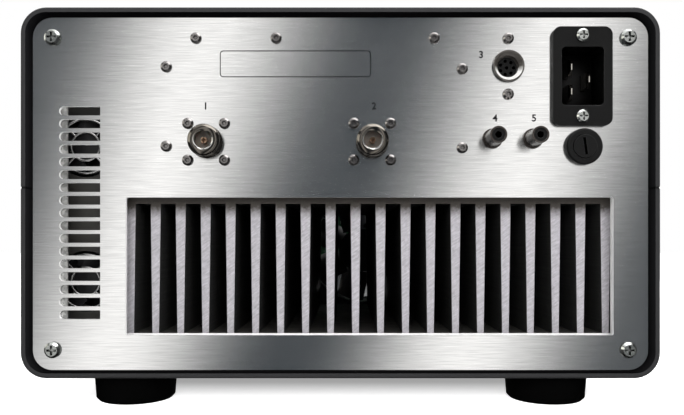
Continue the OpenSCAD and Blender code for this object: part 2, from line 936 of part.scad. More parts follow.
// Square fan frame: the motor hangs on four struts at local Z = 0 and holds the bearing
module fan_frame(size, depth, hub_d) {
    bore_d = size - 2 * fan_rim;
    strut_w = 0.05 * size;
    post_d = fan_shaft_d + 2 * post_wall;
    hole_d = 0.054 * size;
    hole_r = (size / 2 - hole_d) * sqrt(2);
    color("#17181a")
        difference() {
            union() {
                difference() {
                    rounded_plate(size, size, fan_rim, depth);
                    translate([0, 0, -flush])
                        cylinder(d = bore_d, h = depth + 2 * flush, $fn = 72);
                    for (turn = [45:90:315])
                        rotate(turn)
                            translate([hole_r, 0, -flush])
                                cylinder(d = hole_d, h = depth + 2 * flush);
                }
                cylinder(d = hub_d, h = fan_mount_t);
                for (k = [0:3])
                    rotate(45 + 90 * k)
                        translate([hub_d / 2 - flush, -strut_w / 2, 0])
                            cube([(bore_d - hub_d) / 2 + 2 * flush, strut_w, fan_mount_t]);
                cylinder(d = post_d, h = depth - 3 * hub_cap);
            }
            translate([0, 0, -flush])
                cylinder(d = fan_shaft_d + 2 * shaft_play, h = depth + 2 * flush);
        }
}

// Cup-shaped hub with its shaft and curved blades
module fan_rotor(size, depth, hub_d, blade_count) {
    tip_r = size / 2 - fan_rim - blade_tip_gap;
    hub_z0 = fan_mount_t + fan_seat_gap;
    hub_z1 = depth - hub_cap / 2;
    blade_z0 = hub_z0 + fan_seat_gap;
    color("#202124") {
        difference() {
            translate([0, 0, hub_z0])
                cylinder(d = hub_d, h = hub_z1 - hub_z0);
            translate([0, 0, hub_z0 - flush])
                cylinder(d = hub_d - 2 * hub_wall, h = hub_z1 - hub_z0 - hub_cap + flush);
        }
        translate([0, 0, fan_seat_gap])
            cylinder(d = fan_shaft_d, h = hub_z1 - fan_seat_gap - eps);
        intersection() {
            cylinder(r = tip_r, h = depth, $fn = 72);
            for (k = [0:blade_count - 1])
                rotate(360 * k / blade_count)
                    translate([hub_d / 2 - hub_wall / 2, 0, blade_z0])
                        rotate([90, 0, 90])
                            linear_extrude(tip_r)
                                blade_section(hub_z1 - blade_z0 - fan_seat_gap);
        }
    }
}

// Blade section: the stretch of a thin ring between two heights, which curves over as it rises
module blade_section(h) {
    foot_angle = 160;
    head_angle = 118;
    bend_r = h / (sin(head_angle) - sin(foot_angle));
    intersection() {
        translate([-h / 2 - bend_r * cos(foot_angle), -bend_r * sin(foot_angle)])
            difference() {
                circle(bend_r, $fn = 96);
                circle(bend_r - blade_t, $fn = 96);
            }
        translate([-h, 0])
            square([2 * h, h]);
    }
}

module duct_fan_frame(k)
    at_fan(k)
        fan_frame(fan_size, fan_t, fan_hub_d);

module duct_fan_rotor(k)
    at_fan(k)
        fan_rotor(fan_size, fan_t, fan_hub_d, 7);

module fan_frame_left() duct_fan_frame(-1);
module fan_frame_middle() duct_fan_frame(0);
module fan_frame_right() duct_fan_frame(1);
module fan_rotor_left() duct_fan_rotor(-1);
module fan_rotor_middle() duct_fan_rotor(0);
module fan_rotor_right() duct_fan_rotor(1);

// Plate across the duct that the fans are screwed to
module fan_plate()
    color("#a5a8aa")
        translate([0, fan_y1 + sheet_t, 0])
            rotate([90, 0, 0])
                linear_extrude(sheet_t)
                    difference() {
                        translate([heatsink_x0 + fit_gap, duct_floor_z])
                            square([heatsink_w - 2 * fit_gap, fan_size]);
                        for (k = [-1:1])
                            translate([heatsink_x + k * fan_pitch, fan_z])
                                circle(d = fan_size - 4 * fan_rim, $fn = 72);
                    }

// Sheet metal case of the power supply, with a round fan hole at each small fan
module psu_case() {
    grille_w = 3;
    grille_pitch = 6;
    grille_margin = 10;
    grille_count = floor((psu_w - 2 * grille_w) / grille_pitch);
    color("#55585a")
        difference() {
            translate([psu_x0, psu_y0, psu_z0])
                cube([psu_w, psu_len, psu_h]);
            translate([psu_x0 + psu_wall, psu_y0 + psu_wall, psu_z0 + psu_wall])
                cube([psu_w - 2 * psu_wall, psu_len - 2 * psu_wall, psu_h - 2 * psu_wall]);
            at_small_fans(psu_y0)
                translate([0, 0, -psu_wall - flush])
                    cylinder(d = small_fan_size - 2 * fan_rim, h = psu_wall + 2 * flush);
            for (k = [0:grille_count - 1])
                translate([
                    psu_x + (k - (grille_count - 1) / 2) * grille_pitch - grille_w / 2,
                    psu_y1 - psu_wall - flush,
                    psu_z0 + grille_margin
                ])
                    cube([grille_w, psu_wall + 2 * flush, psu_h - 2 * grille_margin]);
        }
}

// Places of the small fans, lower first; local Z points to the rear
module at_small_fans(y, which = [-1, 1])
    for (s = which)
        translate([psu_x, y, psu_z + s * small_fan_pitch / 2])
            rotate([90, 0, 0])
                children();

// Angle on the power supply's side; its flange steps round the ledge, up to the panel's slots
module psu_bracket() {
    web_len = 34;
    flange_y = rear_back_y + ledge_t + fit_gap;
    x0 = left_in + psu_side_gap;
    step_x = ledge_w - psu_side_gap + fit_gap;
    color("#c4c6c8")
        translate([x0, flange_y, psu_z0])
            linear_extrude(psu_h)
                union() {
                    square([step_x + bracket_t, bracket_t]);
                    square([bracket_t, web_len]);
                    translate([step_x, -ledge_t]) {
                        square([bracket_t, ledge_t + bracket_t]);
                        square([bracket_flange_w - step_x, bracket_t]);
                    }
                }
}

module psu_fan_frame(s)
    at_small_fans(small_fan_y + small_fan_t, [s])
        fan_frame(small_fan_size, small_fan_t, 0.4 * small_fan_size);

module psu_fan_rotor(s)
    at_small_fans(small_fan_y + small_fan_t, [s])
        fan_rotor(small_fan_size, small_fan_t, 0.4 * small_fan_size, 5);

module psu_fan_frame_upper() psu_fan_frame(1);
module psu_fan_frame_lower() psu_fan_frame(-1);
module psu_fan_rotor_upper() psu_fan_rotor(1);
module psu_fan_rotor_lower() psu_fan_rotor(-1);

// Wire guards: two rings on four spokes, one guard over each small fan
module psu_fan_guards()
    color("#cfd1d3")
        at_small_fans(psu_y0)
            translate([0, 0, guard_wire_d / 2]) {
                for (r = guard_rings)
                    rotate_extrude()
                        translate([r, 0])
                            circle(d = guard_wire_d, $fn = 24);
                for (k = [0:3])
                    rotate([0, 90, 45 + 90 * k])
                        translate([0, 0, guard_rings[0]])
                            cylinder(d = guard_wire_d, h = small_fan_size / 2 - guard_rings[0], $fn = 24);
            }

// Square-flanged radio socket; local Z = 0 is the panel's face
module n_socket_body()
    color("#c9cacb")
        difference() {
            union() {
                translate([0, 0, -panel_t - flange_t])
                    rounded_plate(flange_side, flange_side, 2, flange_t);
                translate([0, 0, -panel_t - eps])
                    rotate_extrude($fn = 72)
                        polygon([
                            [0, 0],
                            [barrel_d / 2 - barrel_edge, 0],
                            [barrel_d / 2 - barrel_edge, panel_t + barrel_relief],
                            [barrel_d / 2, panel_t + barrel_relief],
                            [barrel_d / 2, panel_t + barrel_reach - barrel_edge],
                            [barrel_d / 2 - barrel_edge, panel_t + barrel_reach],
                            [0, panel_t + barrel_reach]
                        ]);
            }
            translate([0, 0, -panel_t - flange_t - flush])
                cylinder(d = barrel_bore_d, h = panel_t + flange_t + barrel_reach + 2 * flush);
            for (dx = [-1, 1], dy = [-1, 1])
                translate([dx * flange_pitch / 2, dy * flange_pitch / 2, -panel_t - flange_t - flush])
                    cylinder(d = small_hole_d, h = flange_t + 2 * flush);
        }

module n_socket_insulator() {
    z0 = -panel_t - flange_t - tail_len;
    color("#d9d0b4")
        translate([0, 0, z0])
            difference() {
                cylinder(d = barrel_bore_d - 2 * shaft_play, h = barrel_reach - insulator_recess - z0);
                translate([0, 0, -flush])
                    cylinder(d = contact_d + 2 * shaft_play, h = barrel_reach - z0 + flush);
            }
}

// Slotted centre contact with its solder pot at the back
module n_socket_contact() {
    z0 = -panel_t - flange_t - pot_len;
    z1 = barrel_reach - contact_recess;
    split_len = 4;
    color("#c9a35a")
        difference() {
            translate([0, 0, z0])
                cylinder(d = contact_d, h = z1 - z0);
            translate([0, 0, z1 - split_len])
                cylinder(d = contact_hole_d, h = split_len + flush);
            for (turn = [0, 90])
                rotate(turn)
                    translate([0, 0, z1])
                        cube([contact_d + flush, 0.4, split_len], center = true);
        }
}

module antenna_socket_body() on_rear(antenna_x, socket_z) n_socket_body();
module antenna_socket_insulator() on_rear(antenna_x, socket_z) n_socket_insulator();
module antenna_socket_contact() on_rear(antenna_x, socket_z) n_socket_contact();
module radio_socket_body() on_rear(radio_x, socket_z) n_socket_body();
module radio_socket_insulator() on_rear(radio_x, socket_z) n_socket_insulator();
module radio_socket_contact() on_rear(radio_x, socket_z) n_socket_contact();

// The small screws of the radio sockets and the accessory socket
module socket_screws()
    color("#b7b9bb") {
        for (x = socket_xs, dx = [-1, 1], dz = [-1, 1])
            on_rear(x + dx * flange_pitch / 2, socket_z + dz * flange_pitch / 2)
                small_screw();
        for (s = [-1, 1])
            on_rear(accessory_x, accessory_z + s * accessory_screw_r)
                small_screw();
    }

// Open-fronted box behind the panel, with flanges along its top and sides
module screen_box()
    color("#a9acae")
        difference() {
            on_rear(0, 0, -panel_t - screen_d)
                difference() {
                    translate([screen_x0, screen_z0, 0])
                        cube([screen_w, screen_h, screen_d]);
                    translate([screen_x0 + screen_t, screen_z0 + screen_t, screen_t])
                        cube([screen_w - 2 * screen_t, screen_h - 2 * screen_t, screen_d - 2 * screen_t]);
                    translate([screen_x0 + screen_flange_w, screen_z0 + screen_t, screen_t])
                        cube([
                            screen_w - 2 * screen_flange_w,
                            screen_h - screen_t - screen_flange_w,
                            screen_d
                        ]);
                }
            for (s = screen_screws)
                on_rear(s[0], ceiling_z - s[1], -panel_t - screen_t - flush)
                    cylinder(d = small_hole_d, h = screen_t + 2 * flush);
        }

module screen_box_screws()
    color("#b7b9bb")
        for (s = screen_screws)
            on_rear(s[0], ceiling_z - s[1])
                small_screw();

// Round shell with a two-hole flange behind the panel
module accessory_socket_shell()
    color("#c9cacb")
        on_rear(accessory_x, accessory_z)
            difference() {
                union() {
                    translate([0, 0, accessory_proud - accessory_shell_len])
                        cylinder(d = accessory_ring_d, h = accessory_shell_len, $fn = 72);
                    translate([0, 0, -panel_t - accessory_flange_t])
                        linear_extrude(accessory_flange_t) {
                            circle(d = accessory_flange_w);
                            square([2 * accessory_ear_r, 2 * accessory_screw_r], center = true);
                            for (s = [-1, 1])
                                translate([0, s * accessory_screw_r])
                                    circle(accessory_ear_r);
                        }
                }
                translate([0, 0, accessory_proud - accessory_shell_len - flush])
                    cylinder(d = accessory_bore_d, h = accessory_shell_len + flush);
                translate([0, 0, accessory_proud - accessory_recess])
                    cylinder(d = accessory_mouth_d, h = accessory_recess);
                translate([0, 0, accessory_proud - accessory_flare])
                    cylinder(d1 = accessory_mouth_d, d2 = accessory_flare_d, h = accessory_flare + eps);
                for (s = [-1, 1])
                    translate([0, s * accessory_screw_r, -panel_t - accessory_flange_t - flush])
                        cylinder(d = small_hole_d, h = accessory_flange_t + 2 * flush);
            }

// Black insert with a ring of contact holes round a middle one
module accessory_socket_insert() {
    insert_len = accessory_shell_len - accessory_recess;
    hole_count = 7;
    hole_len = 6;
    color("#141414")
        on_rear(accessory_x, accessory_z, -panel_t - accessory_len)
            difference() {
                cylinder(d = accessory_bore_d - 2 * shaft_play, h = insert_len);
                for (k = [0:hole_count])
                    rotate(360 * k / hole_count)
                        translate([k < hole_count ? pin_ring_r : 0, 0, insert_len - hole_len])
                            cylinder(d = pin_hole_d, h = hole_len + flush, $fn = 24);
            }
}

// Phono sleeves, each with a collar on the panel and a threaded bush behind it
module phono_bodies()
    color("#c9cacb")
        for (x = phono_xs)
            on_rear(x, phono_z)
                rotate_extrude($fn = 64)
                    polygon([
                        [phono_bush_bore_d / 2, -panel_t - phono_bush_len],
                        [phono_bush_d / 2, -panel_t - phono_bush_len],
                        [phono_bush_d / 2, 0],
                        [phono_collar_d / 2, 0],
                        [phono_collar_d / 2, phono_collar_t],
                        [phono_d / 2, phono_collar_t],
                        [phono_d / 2, phono_reach],
                        [phono_bore_d / 2, phono_reach],
                        [phono_bore_d / 2, phono_collar_t],
                        [phono_bush_bore_d / 2, phono_collar_t]
                    ]);

module phono_insulators() {
    face_set_back = 0.4;
    pin_depth = 9;
    insulator_len = phono_reach - phono_collar_t - face_set_back;
    color("#161616")
        for (x = phono_xs)
            on_rear(x, phono_z, phono_collar_t)
                difference() {
                    cylinder(d = phono_bore_d - 2 * shaft_play, h = insulator_len);
                    translate([0, 0, insulator_len - pin_depth])
                        cylinder(d = phono_pin_d, h = pin_depth + flush);
                }
}

// A hexagon nut from local Z = 0 inwards
module hex_nut(across_flats, t, bore_d)
    translate([0, 0, -t])
        difference() {
            cylinder(d = across_flats / cos(30), h = t, $fn = 6);
            translate([0, 0, -flush])
                cylinder(d = bore_d, h = t + 2 * flush);
        }

module phono_nuts()
    color("#b7b9bb")
        for (x = phono_xs)
            on_rear(x, phono_z, -panel_t)
                hex_nut(phono_nut_af, phono_nut_t, phono_bush_d + 2 * hole_gap);

// Moulded inlet: rounded flange, box behind the panel, recess for the plug
module mains_inlet_body() {
    box_len = recess_d - inlet_t + inlet_back_t;
    color("#121213")
        on_rear(inlet_x, inlet_z)
            difference() {
                union() {
                    rounded_plate(inlet_w, inlet_h, inlet_corner_r, inlet_t);
                    translate([0, 0, -box_len])
                        rounded_plate(
                            recess_w + 2 * inlet_body_wall,
                            recess_h + 2 * inlet_body_wall,
                            inlet_edge_r,
                            box_len + eps
                        );
                }
                translate([0, 0, inlet_t - recess_d])
                    rounded_plate(recess_w, recess_h, inlet_edge_r, recess_d + flush);
                for (s = [-1, 1])
                    translate([0, s * inlet_screw_r, -flush])
                        cylinder(d = small_hole_d, h = inlet_t + 2 * flush);
                for (b = blades)
                    translate([b[0], b[1], -box_len])
                        cube([blade_w + fit_gap, blade_h + fit_gap, 3 * inlet_back_t], center = true);
            }
}

module mains_inlet_blades() {
    box_len = recess_d - inlet_t + inlet_back_t;
    blade_len = box_len + inlet_t - blade_front_gap;
    color("#b08d57")
        on_rear(inlet_x, inlet_z, -box_len)
            for (b = blades)
                translate([b[0], b[1], 0]) {
                    translate([-blade_w / 2, -blade_h / 2, 0])
                        cube([blade_w, blade_h, blade_len]);
                    translate([-tab_w / 2, -tab_h / 2, -tab_len])
                        cube([tab_w, tab_h, tab_len + eps]);
                }
}

module mains_inlet_screws()
    color("#d4d6d8")
        for (s = [-1, 1])
            on_rear(inlet_x, inlet_z + s * inlet_screw_r, inlet_t)
                cross_screw(1.2 * small_head_d, small_head_h, small_shank_d, inlet_t + small_shank_len);

// Fuse holder: flange on the panel, barrel behind it, closed at the back
module fuse_holder_body() {
    edge = 0.8;
    seat_d = carrier_d + 2 * fit_gap;
    color("#121213")
        on_rear(fuse_x, fuse_z)
            rotate_extrude($fn = 72)
                polygon([
                    [0, -fuse_barrel_len],
                    [fuse_barrel_d / 2, -fuse_barrel_len],
                    [fuse_barrel_d / 2, 0],
                    [fuse_flange_d / 2, 0],
                    [fuse_flange_d / 2, fuse_flange_t - edge],
                    [fuse_flange_d / 2 - edge, fuse_flange_t],
                    [seat_d / 2, fuse_flange_t],
                    [seat_d / 2, fuse_flange_t - carrier_seat - fit_gap],
                    [fuse_bore_d / 2, fuse_flange_t - carrier_seat - fit_gap],
                    [fuse_bore_d / 2, fuse_end_t - fuse_barrel_len - fit_gap],
                    [0, fuse_end_t - fuse_barrel_len - fit_gap]
                ]);
}

module fuse_holder_nut()
    color("#1a1a1b")
        on_rear(fuse_x, fuse_z, -panel_t)
            hex_nut(fuse_nut_af, fuse_nut_t, fuse_barrel_d + 2 * hole_gap);

// Slotted carrier whose stem holds the near end of the fuse link
module fuse_carrier() {
    face_z = fuse_flange_t + carrier_proud;
    seat_z = fuse_flange_t - carrier_seat;
    stem_d = fuse_bore_d - 4 * fit_gap;
    color("#161617")
        on_rear(fuse_x, fuse_z)
            difference() {
                union() {
                    translate([0, 0, seat_z])
                        cylinder(d = carrier_d, h = face_z - seat_z);
                    translate([0, 0, seat_z - carrier_stem_len])
                        cylinder(d = stem_d, h = carrier_stem_len + eps);
                }
                translate([0, 0, seat_z - carrier_stem_len - flush])
                    cylinder(d = link_d + 2 * shaft_play, h = carrier_stem_len + flush - link_start);
                rotate(carrier_slot_turn)
                    translate([0, 0, face_z])
                        cube([carrier_slot_w, 0.75 * carrier_d, carrier_seat], center = true);
            }
}

// Cartridge fuse: metal caps on a thinner tube
module fuse_link() {
    seat_z = fuse_flange_t - carrier_seat - link_start - fit_gap;
    tube_len = link_len - 2 * link_end_len;
    color("#cfcabb")
        on_rear(fuse_x, fuse_z, seat_z - link_len) {
            cylinder(d = link_d, h = link_end_len);
            translate([0, 0, link_end_len - eps])
                cylinder(d = link_d - 2 * link_neck, h = tube_len + 2 * eps);
            translate([0, 0, link_len - link_end_len])
                cylinder(d = link_d, h = link_end_len);
        }
}

// Power amplifier board, flat on the heatsink, with windows for the transistors
module at_pa_board()
    translate([(screen_x0 + screen_x1) / 2, heatsink_y0 + pa_board_inset + pa_board_d / 2, deck_z])
        children();

module pa_board()
    color("#2f5d3a")
        at_pa_board()
            difference() {
                translate([-pa_board_w / 2, -pa_board_d / 2, 0])
                    cube([pa_board_w, pa_board_d, board_t]);
                for (s = [-1, 1])
                    translate([s * transistor_pitch / 2, 0, 0])
                        cube(
                            [transistor_w + 2 * flush, transistor_d + 2 * flush, 3 * board_t],
                            center = true
                        );
            }

module rf_transistors()
    color("#d8c27a")
        at_pa_board()
            for (s = [-1, 1])
                translate([s * transistor_pitch / 2, 0, 0]) {
                    translate([-transistor_w / 2, -transistor_d / 2, 0])
                        cube([transistor_w, transistor_d, transistor_t]);
                    translate([-lid_w / 2, -transistor_d / 2, transistor_t - eps])
                        cube([lid_w, transistor_d, lid_h]);
                }

// Filter board against the screening box's back wall
module at_filter_board()
    translate([
        (screen_x0 + screen_x1) / 2,
        rear_back_y + screen_d - screen_t,
        (screen_z0 + screen_z1) / 2
    ])
        rotate([90, 0, 0])
            children();

module filter_board()
    color("#2f5d3a")
        at_filter_board()
            linear_extrude(board_t)
                square([screen_w - 2 * filter_margin, screen_h - 2 * filter_margin], center = true);

module changeover_relay()
    color("#2b4a86")
        at_filter_board()
            translate([-relay_w / 2, -relay_h / 2, board_t])
                cube([relay_w, relay_h, relay_d]);

// Control board on four pillars at the right of the deck
module control_board() {
    x0 = heatsink_x1 - control_w - pillar_d;
    y0 = heatsink_y0 + control_inset;
    color("#2f5d3a")
        translate([x0, y0, deck_z]) {
            translate([0, 0, pillar_h])
                cube([control_w, control_d, board_t]);
            for (x = [pillar_inset, control_w - pillar_inset], y = [pillar_inset, control_d - pillar_inset])
                translate([x, y, 0])
                    cylinder(d = pillar_d, h = pillar_h + eps);
            for (k = [1:3])
                translate([control_w / 3, k * control_d / 4, pillar_h + board_t - eps])
                    cube([control_w / 3, control_d / 8, chip_h]);
        }
}

// Clear meter window with a lip behind the panel
module display_window()
    color("#26292c")
        on_front(0, panel_z + window_rise) {
            translate([0, 0, -panel_t - eps])
                rounded_plate(window_w, window_h, window_corner_r - fit_gap, panel_t + eps);
            translate([0, 0, -panel_t - window_lip_t])
                linear_extrude(window_lip_t)
                    rounded_rect(window_w + 2 * window_lip, window_h + 2 * window_lip, window_corner_r);
        }

module display_board()
    color("#2f5d3a")
        on_front(0, panel_z + display_drop, -board_setback - board_t)
            linear_extrude(board_t)
                square([display_w, display_h], center = true);

// Two rows of bar lights behind the meter window
module meter_lights()
    color("#c8452f")
        for (k = [0:light_count - 1], s = [-1, 1])
            on_front(
                (k - (light_count - 1) / 2) * light_pitch,
                panel_z + window_rise + s * light_row_dz,
                -board_setback
            )
                linear_extrude(light_d)
                    square([light_w, light_h], center = true);

// Switch housing: bezel on the panel, box behind it, room for the rocker
module power_switch_body()
    color("#121213")
        on_front(switch_x, control_z)
            difference() {
                union() {
                    linear_extrude(bezel_t)
                        rounded_rect(switch_w + 2 * bezel_lip, switch_h + 2 * bezel_lip, bezel_corner_r);
                    translate([0, 0, -switch_body_d])
                        linear_extrude(switch_body_d + eps)
                            square([switch_w, switch_h], center = true);
                }
                translate([0, 0, -rocker_pivot - rocker_room_d])
                    linear_extrude(rocker_pivot + rocker_room_d + bezel_t + flush)
                        square([rocker_w + 2 * rocker_side_gap, rocker_room_h], center = true);
                translate([0, 0, -rocker_pivot])
                    rotate([0, 90, 0])
                        cylinder(
                            d = axle_d + 2 * shaft_play,
                            h = rocker_w + 2 * rocker_side_gap + 2 * axle_len,
                            center = true
                        );
            }

// Rocker with a dished front, at rest with its lower half pressed in
module power_rocker()
    color("#1c1c1e")
        on_front(switch_x, control_z)
            translate([0, 0, -rocker_pivot])
                rotate([rocker_tilt, 0, 0])
                    union() {
                        rotate([90, 0, 90])
                            translate([0, 0, -rocker_w / 2])
                                linear_extrude(rocker_w)
                                    polygon([
                                        [rocker_h, rocker_edge],
                                        [0, rocker_dip],
                                        [-rocker_h, rocker_edge],
                                        [-0.85 * rocker_h, -rocker_back_edge],
                                        [0, -rocker_back],
                                        [0.85 * rocker_h, -rocker_back_edge]
                                    ]);
                        rotate([0, 90, 0])
                            cylinder(
                                d = axle_d,
                                h = rocker_w + 2 * (rocker_side_gap + axle_len - fit_gap),
                                center = true
                            );
                    }

// Push button: cap through the panel, retaining flange, stem into its switch
module push_button(x)
    color("#26272a")
        on_front(x, control_z) {
            flange_z = -panel_t - button_flange_gap - button_flange_t;
            translate([0, 0, flange_z])
                cylinder(d = button_d, h = button_reach - flange_z);
            translate([0, 0, flange_z])
                cylinder(d = button_flange_d, h = button_flange_t);
            translate([0, 0, flange_z - button_stem_len])
                cylinder(d = button_stem_d, h = button_stem_len + eps);
        }

module operate_button() push_button(button_xs[0]);
module level_button() push_button(button_xs[1]);

// Switch blocks on the display board, bored for the buttons' stems
module button_switches()
    color("#1f2022")
        for (x = button_xs)
            on_front(x, control_z, -board_setback)
                difference() {
                    linear_extrude(switch_block_h)
                        square(switch_block, center = true);
                    translate([0, 0, switch_block_h - switch_bore_len])
                        cylinder(d = button_stem_d + 2 * shaft_play, h = switch_bore_len + flush);
                }

upper_shell();
lower_shell();
rear_panel();
front_panel();
feet();
foot_screws();
rear_panel_screws();
front_panel_screws();
chassis();
chassis_screws();
heatsink();
heatsink_screws();
fan_plate();
fan_frame_left();
fan_frame_middle();
fan_frame_right();
fan_rotor_left();
fan_rotor_middle();
fan_rotor_right();
psu_case();
psu_bracket();
psu_fan_frame_upper();
psu_fan_frame_lower();
psu_fan_rotor_upper();
psu_fan_rotor_lower();
psu_fan_guards();
antenna_socket_body();
antenna_socket_insulator();
antenna_socket_contact();
radio_socket_body();
radio_socket_insulator();
radio_socket_contact();
socket_screws();
screen_box();
screen_box_screws();
accessory_socket_shell();
accessory_socket_insert();
phono_bodies();
phono_insulators();
phono_nuts();
mains_inlet_body();
mains_inlet_blades();
mains_inlet_screws();
fuse_holder_body();
fuse_holder_nut();
fuse_carrier();
fuse_link();
pa_board();
rf_transistors();
filter_board();
changeover_relay();
control_board();
display_window();
display_board();
meter_lights();
power_switch_body();
power_rocker();
operate_button();
level_button();
button_switches();
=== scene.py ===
"""Looks of a desktop VHF power amplifier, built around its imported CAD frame.

Every CAD node keeps its place and gets a procedural finish. What the solids leave plain, such
as the thread of the radio sockets and the printing on the rear panel, is a surface worked out
with numpy. Lengths are in metres, in the frame of the CAD model: +Z up, the socketed rear panel
facing -Y and the front panel facing +Y.
"""

import json
import logging
import math
from dataclasses import dataclass, field
from enum import Enum
from typing import Any, Optional, Protocol, Union

import bpy
import numpy as np
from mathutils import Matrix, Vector


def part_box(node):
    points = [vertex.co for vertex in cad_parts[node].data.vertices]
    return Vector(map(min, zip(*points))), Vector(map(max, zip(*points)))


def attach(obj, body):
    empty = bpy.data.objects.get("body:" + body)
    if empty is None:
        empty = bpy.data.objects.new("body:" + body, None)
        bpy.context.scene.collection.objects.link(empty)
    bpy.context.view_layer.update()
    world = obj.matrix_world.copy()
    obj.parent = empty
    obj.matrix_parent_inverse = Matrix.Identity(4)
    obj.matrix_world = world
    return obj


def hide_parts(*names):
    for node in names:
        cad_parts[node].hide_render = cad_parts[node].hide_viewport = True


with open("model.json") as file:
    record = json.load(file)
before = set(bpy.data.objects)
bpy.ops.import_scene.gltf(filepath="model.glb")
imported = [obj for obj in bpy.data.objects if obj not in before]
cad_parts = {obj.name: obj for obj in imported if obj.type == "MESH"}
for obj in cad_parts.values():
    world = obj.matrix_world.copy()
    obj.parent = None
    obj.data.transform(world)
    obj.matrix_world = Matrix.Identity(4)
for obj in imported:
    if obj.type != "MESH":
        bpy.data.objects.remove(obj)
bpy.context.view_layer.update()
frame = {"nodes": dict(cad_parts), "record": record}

IMAGE_W, IMAGE_H = 684, 415
MM = 0.001
LIP_MARK = "lip"

# Places on the case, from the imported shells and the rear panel
LOWER_LOW, LOWER_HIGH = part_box("lower_shell")
UPPER_LOW, UPPER_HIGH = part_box("upper_shell")
CASE_MIDDLE_Y = (LOWER_LOW.y + UPPER_HIGH.y) / 2
CASE_MIDDLE_Z = (LOWER_LOW.z + UPPER_HIGH.z) / 2
CASE_HALF_D = (UPPER_HIGH.y - LOWER_LOW.y) / 2
SEAM_Z = (LOWER_HIGH.z + UPPER_LOW.z) / 2
PANEL_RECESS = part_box("rear_panel")[0].y - LOWER_LOW.y

Pair = tuple[float, float]
Triple = tuple[float, float, float]
Box = tuple[float, float, float, float]
Colour = Triple
Shape = tuple[np.ndarray, np.ndarray]
Socket = bpy.types.NodeSocket
Value = Union[float, Colour, Socket]

logging.basicConfig(level=logging.INFO, format="%(name)s: %(message)s")
log = logging.getLogger("amplifier")


class Grain(Enum):
    """The fine surface that a plated metal piece shows."""

    SATIN = "satin"
    SPANGLE = "spangle"
    TURNED = "turned"


class Side(Enum):
    """A panel of the case, by the direction in which it faces along Y."""

    REAR = -1.0
    FRONT = 1.0


class Finish(Protocol):
    """Anything that builds its own material."""

    def material(self) -> bpy.types.Material:
        """Builds the finish."""


